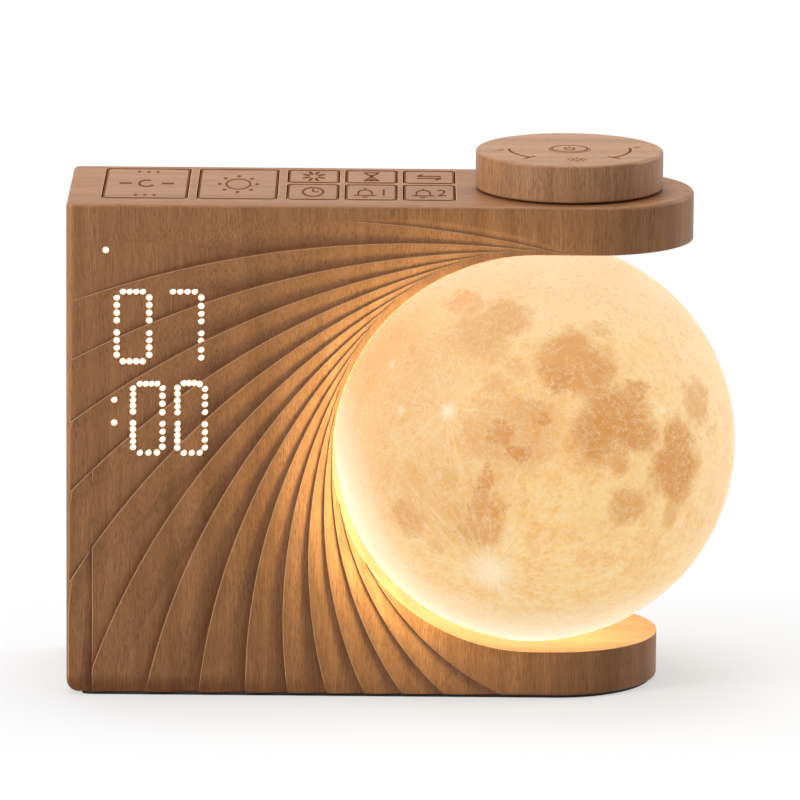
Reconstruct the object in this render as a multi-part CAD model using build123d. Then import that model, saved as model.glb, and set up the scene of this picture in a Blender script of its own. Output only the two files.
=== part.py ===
from build123d import *
import os
from math import atan, cos, degrees, radians, sin

# Sunrise alarm clock: a C-shaped wooden housing with a glowing moon between its two arms.
# Frame: X to the right along the front, Y to the back, Z up. The origin is the centre of the
# footprint of the whole clock, on the surface it stands on. All sizes are in millimetres.

# The moon and the C-shaped housing around it.
moon_radius = 60.0
moon_wall = 2.4
moon_sink = 2.2
moon_seat_gap = 0.3
moon_mouth_radius = 12.0
moon_neck_height = 7.0
cut_gap = 0.1
base_arm = 13.4
top_arm = 14.4
pad_thickness = 1.0
body_depth = 62.0
body_reach_left = 139.2
top_arm_reach = 46.6
base_arm_reach = 37.4

# Shell of the housing.
wall = 3.0
front_wall = 6.0
cut_wall = 2.6
corner_radius = 2.4
foot_corner_radius = 4.0
top_edge_radius = 1.2
bottom_edge_radius = 0.7
over = 1.0  # how far a cutter runs past the face that it cuts
sliver = 0.01

# The fan of overlapping blades on the front.
blade_count = 16
blade_first_angle = 74.8
blade_step_angle = 7.47
blade_first_radius = 311.7
blade_radius_step = 14.67
fan_shift_x = -2.95
fan_shift_z = 4.3
fan_hub_inset = 3.2
fan_lip = 0.5
fan_floor = 1.2
fan_rise_angle = 64.0
fan_rise_radius = 150.0
blade_slope = 0.13
blade_crown_radius = 250.0
blade_reach = 25.0
calm_slope = 0.03
calm_start = 2.6
calm_drop = 0.007
calm_level = 130.0
border_width = 7.7
border_height = 80.0
border_depth = 1.9

# Rear cover and its screws.
cover_thickness = 2.6
cover_rebate = 1.5
cover_gap = 0.15
cover_corner_radius = 2.0
cover_top_arm_reach = 8.4
cover_base_arm_reach = -2.0
boss_radius = 3.4
boss_length = 12.0
boss_sink = 0.4
post_boss_radius = 2.6
screw_radius = 1.1
screw_hole_gap = 0.05
screw_head_radius = 2.3
screw_head_height = 1.5
screw_length = 9.0
side_screw_rise = 21.5
side_screw_drop = 28.5
base_screw_inset = 12.0
top_screw_inset = 26.6
screw_slot_width = 0.6
screw_slot_depth = 0.7
screw_slot_length = 2.85
screw_pass_gap = 0.2
screw_head_gap = 0.3
thread_spare = 0.6
blind_floor = 0.8

# Keys on the top.
key_margin_left = 10.3
key_front_edge = 9.2
key_back_edge = 4.4
key_knob_gap = 6.25
snooze_share = 0.5166
small_key_width = 15.05
wide_gap = 3.2
narrow_gap = 2.2
row_gap = 2.4
front_row_share = 0.54
key_gap = 0.35
key_corner = 1.2
key_flange = 0.8
key_flange_height = 1.2
key_rest_gap = 0.1
key_travel = 0.8
key_stem_radius = 2.5
key_stem_height = 1.4
key_edge = 0.15
key_post_gap = 0.6

# Switches and boards.
switch_size = 6.0
switch_height = 3.0
plunger_radius = 1.7
plunger_height = 0.6
press_gap = 0.1
board_thickness = 1.6
board_gap = 0.6
board_edge_gap = 0.3
board_thread = 3.9

# The dial and its bearing.
knob_offset = 9.4
knob_radius = 27.9
knob_height = 11.2
knob_lift = 0.6
knob_wall = 3.0
knob_edge = 0.8
hub_wall = 4.9
bearing_gap = 0.06
post_radius = 9.0
post_bore = 7.6
post_flange_radius = 24.0
post_flange = 2.1
well_radius = 19.0
well_depth = 1.9
magnet_radius = 17.6
magnet_height = 1.4
clip_height = 0.8
clip_groove = 0.6
clip_play = 0.1
clip_room = 1.4
clip_rim = 1.9
clip_mouth = 5.0
clip_pocket = 2.3
post_head = 1.0
hub_step = 0.2
magnet_lift = 0.3
magnet_bore_gap = 0.5
button_radius = 6.0
button_gap = 0.3
button_travel = 1.0
barrel_gap = 0.1
barrel_drop = 0.2
barrel_lift = 4.5
button_proud = 0.2
button_edge = 0.25
web_thickness = 3.0
encoder_drop = 3.2
encoder_post_reach = 11.5
encoder_post_floor = 0.4
encoder_board_half = 15.0
encoder_thread = 2.9
hall_reach = 12.0
hall_shift = 4.0
hall_width = 3.0
hall_length = 4.0
hall_height = 1.5

# The moon's socket in the base arm.
socket_radius = 11.6
socket_bore = 9.0
socket_flange_radius = 17.5
socket_flange = 2.4
socket_rise = 3.0
socket_screw_shift = 0.8
socket_thread = 3.0
mouth_gap = 0.6
seat_boss_radius = 21.0
seat_boss_height = 6.0
lamp_board_thickness = 1.2
diffuser_wall = 1.2
diffuser_height = 9.0
led_size = 2.8
led_height = 0.8
led_ring_radius = 5.9

# Display behind the front.
window_left = 8.0
window_width = 38.0
window_drop = 4.5
window_rise = 62.5
window_wall = 3.4
baffle_thickness = 3.4
digit_width = 9.5
lower_digit_width = 8.4
digit_height = 21.1
dot_pitch = 2.2
dot_size = 1.2
dots_in_stroke = 4
dot_gap = 0.4
dot_height = 0.6
digit_margin = 15.0
upper_digit_rise = 27.1
upper_digit_pitch = 15.4
lower_digit_drop = 0.5
lower_digit_shift = 4.9
lower_digit_pitch = 13.0
colon_shift = 5.6
colon_low = 9.1
colon_high = 16.1
mark_shift = 3.2
mark_rise = 33.5
baffle_gap = 0.3
display_board_spare = 5.2
display_screw_inset = 2.6
display_screw_left = 2.0
display_thread = 2.6
spacer_radius = 2.2
spacer_gap = 0.1

# Speaker, main board and inlet on the rear cover.
speaker_shift = 1.85
speaker_rise = 27.5
speaker_radius = 20.0
speaker_rim = 2.4
speaker_ear = 3.2
speaker_seat = 1.8
speaker_mouth_inset = 3.0
ear_thickness = 1.6
ear_thread = 1.2
gasket_thickness = 1.0
gasket_width = 2.6
basket_wall = 1.2
basket_rim = 3.0
basket_depth = 9.0
basket_floor_radius = 11.0
cone_wall = 0.8
cone_gap = 0.4
surround_width = 2.8
cone_depth = 5.6
dome_depth = 4.2
coil_radius = 9.0
coil_wall = 0.7
coil_depth = 8.8
disc_radius = 13.5
disc_height = 5.5
grille_hole = 1.1
grille_pitch = 4.6
grille_rings = 3
holes_per_ring = 6
main_board_width = 52.0
main_board_height = 46.0
main_board_shift = -2.15
main_board_rise = 7.0
board_stand = 6.8
board_hole_inset = 3.2
stand_thread = 1.0
main_thread = 4.4
usb_width = 9.0
usb_height = 3.2
usb_length = 7.4
usb_shift = -8.0
usb_rise = 7.0
usb_corner = 1.55
usb_skin = 0.3
usb_back = 1.2
usb_tongue_width = 6.4
usb_tongue = 0.7
usb_tongue_setback = 1.0
inlet_gap = 0.3
cell_radius = 10.0
cell_height = 3.2
cell_shift_x = 6.5
cell_shift_z = 4.0
cell_floor = 0.6
cell_gap = 0.15
cell_wall = 1.45
cell_slot_width = 10.0
cell_slot_depth = 3.0
cell_edge = 0.5
# Chips on the main board: places from its middle, width, height and thickness.
chip_sizes = [
    (-14, -8, 9, 9, 1.4), (2, -15, 6, 5, 1.6), (-19, 4, 5, 6, 1.6), (-9.5, 8, 4, 8, 4.5),
    (21, -8, 6, 12, 5.5),
]

# The rubber pad under the base.
pad_inset = 1.6
pad_left_gap = 0.6

# Places that follow from the sizes above.
cut_radius = moon_radius + cut_gap
base_top = pad_thickness + base_arm
cut_z = base_top + cut_radius
arm_under = cut_z + cut_radius
body_top = arm_under + top_arm
moon_z = base_top - moon_sink + moon_radius
moon_x = (body_reach_left - moon_radius) / 2
left_x = moon_x - body_reach_left
top_end = moon_x + top_arm_reach
base_end = moon_x + base_arm_reach
front_y = -body_depth / 2
back_y = body_depth / 2
cover_y = back_y - cover_thickness
inner_front = front_y + front_wall
inner_top = body_top - wall
inner_left = left_x + wall
inner_back = back_y - wall
rib_x = moon_x - cut_radius - cut_wall
knob_x = moon_x + knob_offset
knob_bottom = body_top + knob_lift
knob_top = knob_bottom + knob_height
seat_bottom = base_top - seat_boss_height
screw_hole = screw_radius + screw_hole_gap
fan_x = moon_x + fan_shift_x
fan_z = cut_z + fan_shift_z
fan_hub = cut_radius - fan_hub_inset
window_bottom = cut_z - window_drop
window_top = cut_z + window_rise
back_column = (inner_left + rib_x) / 2
speaker_x = back_column + speaker_shift
speaker_z = cut_z + speaker_rise
main_board_x = back_column + main_board_shift
main_board_z = pad_thickness + wall + main_board_rise + main_board_height / 2
usb_x = main_board_x + usb_shift
usb_z = main_board_z - main_board_height / 2 + usb_rise


def block(x0, x1, y0, y1, z0, z1):
    size = (x1 - x0, y1 - y0, z1 - z0)
    centre = ((x0 + x1) / 2, (y0 + y1) / 2, (z0 + z1) / 2)
    return Pos(*centre) * Box(*size)


def upright(x, y, radius, z0, z1):
    return Pos(x, y, (z0 + z1) / 2) * Cylinder(radius, z1 - z0)


def lying(x, z, radius, y0, y1):
    return Pos(x, (y0 + y1) / 2, z) * Rot(90, 0, 0) * Cylinder(radius, y1 - y0)


def ring_places(x, y, radius, count, start=0.0):
    angles = [radians(start + 360 * i / count) for i in range(count)]
    return [(x + radius * cos(a), y + radius * sin(a)) for a in angles]


def plan(end_x, inset, left_inset, corner):
    # The outline seen from above: square corners at the left, a half circle at the right.
    half = body_depth / 2 - inset
    centre = end_x - body_depth / 2
    left = left_x + left_inset
    flat = Pos((left + centre) / 2, 0) * Rectangle(centre - left, 2 * half)
    corners = flat.vertices().sort_by(Axis.X)[:2]
    return fillet(corners, corner) + Pos(centre, 0) * Circle(half)


def slab_of(outline, z0, z1):
    return Pos(0, 0, z0) * extrude(outline, z1 - z0)


def front_outline(sketch, y0, y1):
    # A shape drawn on the front, x to the right and z up, pushed from y0 to y1.
    face = Plane.XZ * sketch
    return Pos(0, y1, 0) * extrude(face, y1 - y0)


def c_cut(radius, under, top):
    # The opening of the C: a cylinder round the moon's axis, running out flat to the right.
    far = moon_x + 2 * moon_radius
    back = body_depth
    round_part = lying(moon_x, cut_z, radius, -back, back)
    return round_part + block(moon_x, far, -back, back, under, top)


def outer_form():
    lower = slab_of(plan(base_end, 0, 0, corner_radius), pad_thickness, cut_z)
    upper = slab_of(plan(top_end, 0, 0, corner_radius), cut_z, body_top)
    form = lower + upper
    form = fillet(form.edges().filter_by_position(Axis.Z, body_top, body_top), top_edge_radius)
    under = form.edges().filter_by_position(Axis.Z, pad_thickness, pad_thickness)
    form = fillet(under, bottom_edge_radius)
    r = foot_corner_radius
    low = pad_thickness
    square = block(left_x - over, left_x + r, -body_depth, body_depth, low - over, low + r)
    form -= square - lying(left_x + r, pad_thickness + r, r, -body_depth, body_depth)
    return form - c_cut(cut_radius, base_top, arm_under)


def blade_angle(k):
    return blade_first_angle + blade_step_angle * k


def round_hub(radius, angle):
    # Centre of a circle that goes round the hub circle and touches it at this angle.
    reach = radius - fan_hub
    return fan_x - reach * cos(radians(angle)), fan_z - reach * sin(radians(angle))


def blade_circle(k):
    radius = blade_first_radius - blade_radius_step * k
    return *round_hub(radius, blade_angle(k)), radius


def by_ray(angle, x0, x1, z0, z1):
    # A block whose x runs from the hub's centre outwards at this angle.
    turned = Pos(fan_x, 0, fan_z) * Rot(0, -angle, 0)
    return turned * block(x0, x1, front_y - over, inner_front, z0, z1)


def dish(x, z, radius):
    # A wide shallow dish whose rim lies in the front face.
    back = front_y + front_wall
    half = blade_reach / 2
    sag_half = blade_slope * half + half**2 / (2 * blade_crown_radius)
    sag = blade_slope * blade_reach + blade_reach**2 / (2 * blade_crown_radius)
    rim = (radius, front_y)
    middle = (radius - half, front_y + sag_half)
    inner = (radius - blade_reach, front_y + sag)
    crown = ThreePointArc(rim, middle, inner)
    rest = Polyline(inner, (0, inner[1]), (0, back), (radius, back), rim)
    return Pos(x, 0, z) * revolve(make_face([crown, rest]), Axis.Y)


def relief_pocket():
    # What is cut away in front of the fan of blades.
    clip = block(left_x, top_end, front_y, inner_front, pad_thickness, body_top)
    floor = inner_front - fan_floor
    far = body_reach_left + body_top
    first = blade_circle(0)
    rise = *round_hub(fan_rise_radius, fan_rise_angle), fan_rise_radius
    pocket = lying(*first, front_y - over, floor) + lying(*rise, front_y - over, floor)
    pocket &= block(left_x - over, top_end, front_y - over, floor, 0, body_top)
    lip = lying(fan_x, fan_z, fan_hub + fan_lip, front_y, inner_front)
    pocket -= by_ray(fan_rise_angle, 0, far, -far, 0)
    pocket -= calm_slab() & clip
    pocket -= lip
    # The plain front sinks a little towards the first blade, in a crescent above the moon.
    crescent = dish(*rise) & clip & by_ray(fan_rise_angle, -far, far, 0, far)
    pocket -= crescent - lying(*first, front_y - over, inner_front)
    # Each blade starts where its edge touches the hub and sinks behind the next one.
    for k in range(blade_count - 1):
        pocket -= dish(*blade_circle(k)) & clip & by_ray(blade_angle(k), -far, far, 0, far)
    last = lying(*blade_circle(blade_count - 1), front_y, inner_front)
    return pocket - (last & by_ray(blade_angle(blade_count - 1), -far, far, 0, far))


def calm_slab():
    # The relief fades out towards the upper left: nothing is cut deeper than this slanting face.
    width = top_end - left_x
    tilt = Rot(degrees(atan(calm_drop)), 0, degrees(atan(calm_slope)))
    start = Pos(left_x + calm_start, front_y, calm_level)
    return start * tilt * Pos(width / 2 - wall, body_depth / 2, 0) * Box(width, body_depth, 4 * body_top)


def border_chip():
    # The strip along the left edge dips towards a straight step that fades out upwards.
    x0 = left_x
    x1 = left_x + border_width
    y = front_y - sliver
    low = pad_thickness - sliver
    a = (x0, y, low)
    b = (x1, y, low)
    c = (x1, front_y + border_depth, low)
    d = (x1, y, low + border_height)
    faces = [Face(Wire.make_polygon(p)) for p in ((a, b, c), (a, b, d), (b, c, d), (a, c, d))]
    return Solid(Shell(faces))


def cover_outline(grow):
    # The C-shaped outline of the rear cover, drawn on the XZ plane; grow is for its opening.
    low = pad_thickness + cover_rebate
    high = body_top - cover_rebate
    left = left_x + cover_rebate
    top_right = moon_x + cover_top_arm_reach
    base_right = moon_x + cover_base_arm_reach
    width = top_right - left
    centre = Pos((left + top_right) / 2, (low + high) / 2)
    sheet = centre * RectangleRounded(width, high - low, cover_corner_radius)
    drop_width = top_right - base_right + over
    drop = Pos(base_right + drop_width / 2, cut_z / 2) * Rectangle(drop_width, cut_z)
    r = cut_radius + cut_wall / 2
    hole = Pos(moon_x, cut_z) * Circle(r)
    side = Pos(moon_x + moon_radius, cut_z) * Rectangle(2 * moon_radius, 2 * r)
    shape = sheet - drop - hole - side
    return offset(shape, grow) if grow else shape


def cover_screw_places():
    # Two at the left wall, one at the C, one in each arm, one in the bottom.
    reach = boss_radius - boss_sink
    top_z = inner_top - reach
    low_z = pad_thickness + wall + reach
    side = inner_left + reach
    return [
        (side, pad_thickness + side_screw_rise), (side, body_top - side_screw_drop),
        (rib_x - reach, cut_z), (rib_x, low_z),
        (moon_x + cover_base_arm_reach - base_screw_inset, low_z),
        (moon_x + cover_top_arm_reach - top_screw_inset, top_z),
    ]


def key_columns():
    # Names, left edge and right edge of each key column; the two wide keys share what is left.
    x = left_x + key_margin_left
    end = knob_x - knob_radius - key_knob_gap
    room = end - x - 2 * wide_gap - 3 * small_key_width - 2 * narrow_gap
    snooze_width = room * snooze_share
    columns = []
    for names, width, gap in [
        (["snooze_key"], snooze_width, wide_gap), (["light_key"], room - snooze_width, wide_gap),
        (["clock_key", "sound_key"], small_key_width, narrow_gap),
        (["alarm_1_key", "timer_key"], small_key_width, narrow_gap),
        (["alarm_2_key", "swap_key"], small_key_width, narrow_gap),
    ]:
        columns.append((names, x, x + width))
        x += width + gap
    return columns


def key_places():
    # Each key's name with its x and y limits at the top face.
    y0 = front_y + key_front_edge
    y1 = back_y - key_back_edge
    split = y0 + (y1 - y0) * front_row_share
    places = {}
    for names, x0, x1 in key_columns():
        if len(names) == 1:
            places[names[0]] = (x0, x1, y0, y1)
        else:
            places[names[0]] = (x0, x1, y0, split - row_gap / 2)
            places[names[1]] = (x0, x1, split + row_gap / 2, y1)
    return places


def pad_sketch(x0, x1, y0, y1, radius):
    return Pos((x0 + x1) / 2, (y0 + y1) / 2) * RectangleRounded(x1 - x0, y1 - y0, radius)


def key_board_z():
    # Top face of the key board, one switch and one free stroke below the key stems.
    stem_end = inner_top - key_rest_gap - key_flange_height - key_stem_height
    return stem_end - key_travel - press_gap - plunger_height - switch_height


def key_post_places():
    # Pillars under the top that carry the key board.
    last = key_columns()[-1][2]
    radius = post_boss_radius
    x0 = inner_left + radius
    x1 = last + key_flange + key_post_gap + radius
    y = body_depth / 4
    return [(x0, -y), (x0, y), (x1, -y), (x1, y)], radius


def housing():
    body = outer_form() - relief_pocket() - border_chip()
    inner_base = slab_of(plan(base_end, wall, wall, corner_radius / 2), pad_thickness + wall, cut_z)
    inner_upper = slab_of(plan(top_end, wall, wall, corner_radius / 2), cut_z, inner_top)
    cavity = inner_base + inner_upper
    cavity -= block(left_x, top_end, front_y, inner_front, 0, body_top)
    cavity -= c_cut(cut_radius + cut_wall, base_top - cut_wall, arm_under + cut_wall)
    cavity -= upright(moon_x, 0, seat_boss_radius, seat_bottom, base_top)
    body -= cavity
    body -= front_outline(cover_outline(cover_gap), cover_y, back_y + over)
    ledge = offset(cover_outline(0), -cover_rebate)
    body -= front_outline(ledge, inner_back - cover_gap, cover_y)
    body -= block(
        left_x + window_left, left_x + window_left + window_width, front_y + window_wall,
        inner_front, window_bottom, window_top)
    for x, z in cover_screw_places():
        body += lying(x, z, boss_radius, cover_y - boss_length, cover_y) - outside_guard()
        body -= lying(x, z, screw_hole, cover_y - screw_length, cover_y)
    places, radius = key_post_places()
    for x, y in places:
        body += upright(x, y, radius, key_board_z(), inner_top)
        body -= upright(x, y, screw_hole, key_board_z(), inner_top)
    for x0, x1, y0, y1 in key_places().values():
        hole = pad_sketch(x0 - key_gap, x1 + key_gap, y0 - key_gap, y1 + key_gap, key_corner + key_gap)
        body -= slab_of(hole, inner_top, body_top)
    body -= upright(knob_x, 0, well_radius, body_top - well_depth, body_top)
    body -= upright(knob_x, 0, post_radius + bearing_gap, inner_top, body_top)
    for x, y in post_screw_places():
        body -= upright(x, y, screw_hole, inner_top, body_top - blind_floor)
    body -= Pos(moon_x, 0, moon_z) * Sphere(moon_radius + moon_seat_gap)
    body -= upright(moon_x, 0, moon_mouth_radius + mouth_gap, seat_bottom, base_top)
    for x, y in socket_screw_places():
        body -= upright(x, y, screw_hole, seat_bottom, seat_bottom + socket_thread)
    for x, z in display_screw_places():
        body -= lying(x, z, screw_hole, inner_front - display_thread, inner_front)
    return body


def outside_guard():
    # Keeps the screw bosses inside the opening of the C.
    return lying(moon_x, cut_z, cut_radius + cut_wall / 2, -body_depth, body_depth)


def rear_cover():
    cover = front_outline(cover_outline(0), cover_y, back_y)
    for x, z in cover_screw_places():
        cover -= lying(x, z, screw_hole + screw_pass_gap, cover_y, back_y)
        cover -= lying(x, z, screw_head_radius + screw_head_gap, back_y - screw_head_height, back_y)
    for x, z in grille_places():
        cover -= lying(x, z, grille_hole, cover_y, back_y)
    seat = cover_y - speaker_seat
    rim = lying(speaker_x, speaker_z, speaker_radius + speaker_rim, seat, cover_y)
    cover += rim - lying(speaker_x, speaker_z, speaker_radius - speaker_mouth_inset, seat, cover_y)
    for x, z in board_post_places():
        cover += lying(x, z, post_boss_radius, cover_y - board_stand, cover_y)
        cover -= lying(x, z, screw_hole, cover_y - board_stand, cover_y + stand_thread)
    for x, z in speaker_screw_places():
        cover += lying(x, z, speaker_ear, seat, cover_y)
        cover -= lying(x, z, screw_hole, seat, cover_y + ear_thread)
    width = usb_width + 2 * inlet_gap
    inlet = Pos(usb_x, usb_z) * RectangleRounded(width, usb_height + 2 * inlet_gap, usb_height / 2)
    return cover - front_outline(inlet, cover_y, back_y)


def grille_places():
    # Round holes on rings in front of the speaker.
    places = [(speaker_x, speaker_z)]
    for ring in range(1, grille_rings + 1):
        places += ring_places(speaker_x, speaker_z, ring * grille_pitch, ring * holes_per_ring)
    return places


def board_post_places():
    dx = main_board_width / 2 - board_hole_inset
    dz = main_board_height / 2 - board_hole_inset
    return [(main_board_x + i * dx, main_board_z + j * dz) for i in (-1, 1) for j in (-1, 1)]


def speaker_screw_places():
    return ring_places(speaker_x, speaker_z, speaker_radius + speaker_ear, 4, 45)


def post_screw_places():
    return ring_places(knob_x, 0, (well_radius + post_flange_radius) / 2, 3, 90)


def socket_screw_places():
    reach = (socket_radius + socket_flange_radius) / 2 + socket_screw_shift
    return ring_places(moon_x, 0, reach, 3, 90)


def display_screw_places():
    x0 = left_x + window_left
    x1 = x0 + window_width
    side = display_screw_inset
    levels = (window_bottom + side, window_top - side)
    return [(x, z) for x in (x1 + side, x0 - display_screw_left) for z in levels]


def screw(length):
    # A pan-head screw with a cross slot; its head stands on z = 0 and its shank points down.
    head = Pos(0, 0, screw_head_height / 2) * Cylinder(screw_head_radius, screw_head_height)
    head = chamfer(head.faces().sort_by(Axis.Z)[-1].edges(), screw_head_height / 3)
    deep = 2 * screw_slot_depth
    slot = Box(screw_slot_length, screw_slot_width, deep) + Box(screw_slot_width, screw_slot_length, deep)
    head -= Pos(0, 0, screw_head_height) * slot
    return head + Pos(0, 0, -length / 2) * Cylinder(screw_radius, length)


def cover_screws():
    turned = Rot(-90, 0, 0) * screw(screw_length - thread_spare)
    return [Pos(x, back_y - screw_head_height, z) * turned for x, z in cover_screw_places()]


def base_pad():
    outline = plan(base_end, pad_inset, foot_corner_radius + pad_left_gap, corner_radius)
    return slab_of(outline, 0, pad_thickness)


def key(x0, x1, y0, y1):
    flange_top = inner_top - key_rest_gap
    flange_low = flange_top - key_flange_height
    cap = slab_of(pad_sketch(x0, x1, y0, y1, key_corner), flange_low, body_top)
    cap = chamfer(cap.edges().filter_by_position(Axis.Z, body_top, body_top), key_edge)
    f = key_flange
    rim = slab_of(pad_sketch(x0 - f, x1 + f, y0 - f, y1 + f, key_corner + f), flange_low, flange_top)
    stem = upright((x0 + x1) / 2, (y0 + y1) / 2, key_stem_radius, flange_low - key_stem_height, flange_low)
    return cap + rim + stem


def tact_switch(x, y, z):
    half = switch_size / 2
    base = block(x - half, x + half, y - half, y + half, z, z + switch_height)
    top = z + switch_height
    return base + upright(x, y, plunger_radius, top, top + plunger_height)


def key_switches():
    z = key_board_z()
    return [tact_switch((x0 + x1) / 2, (y0 + y1) / 2, z) for x0, x1, y0, y1 in key_places().values()]


def key_board():
    z = key_board_z()
    places, radius = key_post_places()
    x0 = places[0][0] - radius + board_edge_gap
    x1 = places[-1][0] + radius
    front = display_board_y() + board_thickness + screw_head_height + board_gap
    board = block(x0, x1, front, -front, z - board_thickness, z)
    for x, y in places:
        board -= upright(x, y, screw_hole + screw_pass_gap, z - board_thickness, z)
    return board


def key_board_screws():
    z = key_board_z() - board_thickness
    turned = Rot(180, 0, 0) * screw(board_thickness + board_thread)
    places, _ = key_post_places()
    return [Pos(x, y, z) * turned for x, y in places]


def groove_low():
    # Lower face of the groove for the retaining clip.
    return knob_top - web_thickness - clip_height - clip_room


def bearing_post():
    top = inner_top
    groove_z = groove_low()
    groove_top = groove_z + clip_height + clip_play
    post_top = groove_z + clip_height + post_head
    post = upright(knob_x, 0, post_flange_radius, top - post_flange, top)
    post += upright(knob_x, 0, post_radius, top, post_top)
    for x, y in encoder_post_places():
        post += upright(x, y, post_boss_radius, encoder_board_z(), top - post_flange)
        post -= upright(x, y, screw_hole, encoder_board_z(), top - encoder_post_floor)
    post -= upright(knob_x, 0, post_bore, top - post_flange, post_top)
    ring = upright(knob_x, 0, post_radius + over, groove_z, groove_top)
    post -= ring - upright(knob_x, 0, post_radius - clip_groove, groove_z, groove_top)
    for x, y in post_screw_places():
        post -= upright(x, y, screw_hole + screw_pass_gap, top - post_flange, top)
    return post


def retaining_clip():
    z = groove_low() + clip_play / 2
    outer = post_radius + clip_rim
    inner = post_radius - clip_groove + clip_play / 2
    clip = upright(knob_x, 0, outer, z, z + clip_height) - upright(knob_x, 0, inner, z, z + clip_height)
    half = clip_mouth / 2
    return clip - block(knob_x - half, knob_x + half, 0, outer + over, z, z + clip_height)


def dial_knob():
    knob = upright(knob_x, 0, knob_radius, knob_bottom, knob_top)
    knob = fillet(knob.faces().sort_by(Axis.Z)[-1].edges(), knob_edge)
    knob = chamfer(knob.faces().sort_by(Axis.Z)[0].edges(), knob_edge / 2)
    web = knob_top - web_thickness
    knob -= upright(knob_x, 0, knob_radius - knob_wall, knob_bottom, web)
    step = groove_low() - hub_step
    hub_outer = post_radius + hub_wall
    hub_low = body_top - well_depth + magnet_lift + magnet_height
    knob += upright(knob_x, 0, hub_outer, hub_low, web)
    knob -= upright(knob_x, 0, post_radius + bearing_gap, hub_low, step)
    knob -= upright(knob_x, 0, post_radius + clip_pocket, step, web)
    return knob - upright(knob_x, 0, button_radius + button_gap, web, knob_top)


def magnet_ring():
    low = body_top - well_depth + magnet_lift
    ring = upright(knob_x, 0, magnet_radius, low, low + magnet_height)
    return ring - upright(knob_x, 0, post_radius + magnet_bore_gap, low, low + magnet_height)


def knob_button():
    barrel_top = knob_top - web_thickness - barrel_drop
    barrel_low = inner_top + barrel_lift
    button = upright(knob_x, 0, button_radius, barrel_top, knob_top + button_proud)
    button = fillet(button.faces().sort_by(Axis.Z)[-1].edges(), button_edge)
    button += upright(knob_x, 0, post_bore - barrel_gap, barrel_low, barrel_top)
    stem_low = encoder_board_z() + switch_height + plunger_height + button_travel + press_gap
    return button + upright(knob_x, 0, key_stem_radius, stem_low, barrel_low)


def encoder_board_z():
    # Top face of the small board below the dial.
    return inner_top - post_flange - encoder_drop


def encoder_post_places():
    reach = encoder_post_reach
    return [(knob_x - reach, -reach), (knob_x + reach, reach)]


def encoder_board():
    z = encoder_board_z()
    half = encoder_board_half
    board = block(knob_x - half, knob_x + half, -half, half, z - board_thickness, z)
    for x, y in encoder_post_places():
        board -= upright(x, y, screw_hole + screw_pass_gap, z - board_thickness, z)
    return board


def encoder_screws():
    z = encoder_board_z() - board_thickness
    turned = Rot(180, 0, 0) * screw(board_thickness + encoder_thread)
    return [Pos(x, y, z) * turned for x, y in encoder_post_places()]


def hall_sensors():
    z = encoder_board_z()
    places = [(knob_x + hall_reach, -hall_shift), (knob_x - hall_shift, hall_reach)]
    w = hall_width / 2
    d = hall_length / 2
    return [block(x - w, x + w, y - d, y + d, z, z + hall_height) for x, y in places]


def post_screws():
    z = inner_top - post_flange
    turned = Rot(180, 0, 0) * screw(post_flange + wall - blind_floor - thread_spare)
    return [Pos(x, y, z) * turned for x, y in post_screw_places()]


def moon_shell():
    low = moon_z - (moon_radius**2 - moon_mouth_radius**2) ** 0.5
    shell = Pos(moon_x, 0, moon_z) * Sphere(moon_radius)
    neck = upright(moon_x, 0, moon_mouth_radius + moon_wall, low, low + moon_neck_height)
    hollow = Pos(moon_x, 0, moon_z) * Sphere(moon_radius - moon_wall)
    shell -= hollow
    neck &= Pos(moon_x, 0, moon_z) * Sphere(moon_radius - moon_wall / 2)
    shell += neck
    high = low + moon_neck_height
    return shell - upright(moon_x, 0, moon_mouth_radius, low - moon_neck_height, high)


def socket_top():
    return moon_z - moon_radius + moon_neck_height + socket_rise


def moon_socket():
    low = seat_bottom - socket_flange
    socket = upright(moon_x, 0, socket_radius, seat_bottom, socket_top())
    socket += upright(moon_x, 0, socket_flange_radius, low, seat_bottom)
    socket -= upright(moon_x, 0, socket_bore, low, socket_top())
    for x, y in socket_screw_places():
        socket -= upright(x, y, screw_hole + screw_pass_gap, low, seat_bottom)
    return socket


def socket_screws():
    z = seat_bottom - socket_flange
    turned = Rot(180, 0, 0) * screw(socket_flange + socket_thread - thread_spare)
    return [Pos(x, y, z) * turned for x, y in socket_screw_places()]


def lamp_board():
    z = socket_top()
    return upright(moon_x, 0, socket_radius, z, z + lamp_board_thickness)


def lamp_leds():
    z = socket_top() + lamp_board_thickness
    h = led_size / 2
    places = [(moon_x, 0)] + ring_places(moon_x, 0, led_ring_radius, 6)
    return [block(x - h, x + h, y - h, y + h, z, z + led_height) for x, y in places]


def lamp_diffuser():
    z = socket_top() + lamp_board_thickness
    outer = Cylinder(socket_radius, diffuser_height)
    outer = chamfer(outer.faces().sort_by(Axis.Z)[-1].edges(), diffuser_height / 3)
    inner = Cylinder(socket_radius - diffuser_wall, diffuser_height - diffuser_wall)
    inner = chamfer(inner.faces().sort_by(Axis.Z)[-1].edges(), diffuser_height / 3)
    cap = Pos(0, 0, diffuser_height / 2) * outer
    cap -= Pos(0, 0, (diffuser_height - diffuser_wall) / 2) * inner
    return Pos(moon_x, 0, z) * cap


def digit_places():
    # Lower left corner and width of each digit, two above two.
    x = left_x + digit_margin
    high = cut_z + upper_digit_rise
    low = cut_z - lower_digit_drop
    first = x + lower_digit_shift
    upper = [(x, high, digit_width), (x + upper_digit_pitch, high, digit_width)]
    return upper + [(first, low, lower_digit_width), (first + lower_digit_pitch, low, lower_digit_width)]


def strokes(x, z, w):
    # The seven strokes of a digit: the centre of each and its direction in degrees.
    h = digit_height
    across = [(x + w / 2, z + i * h / 2, 0) for i in range(3)]
    along = [(x + i * w, z + j * h, 90) for i in (0, 1) for j in (0.25, 0.75)]
    return across + along


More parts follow.
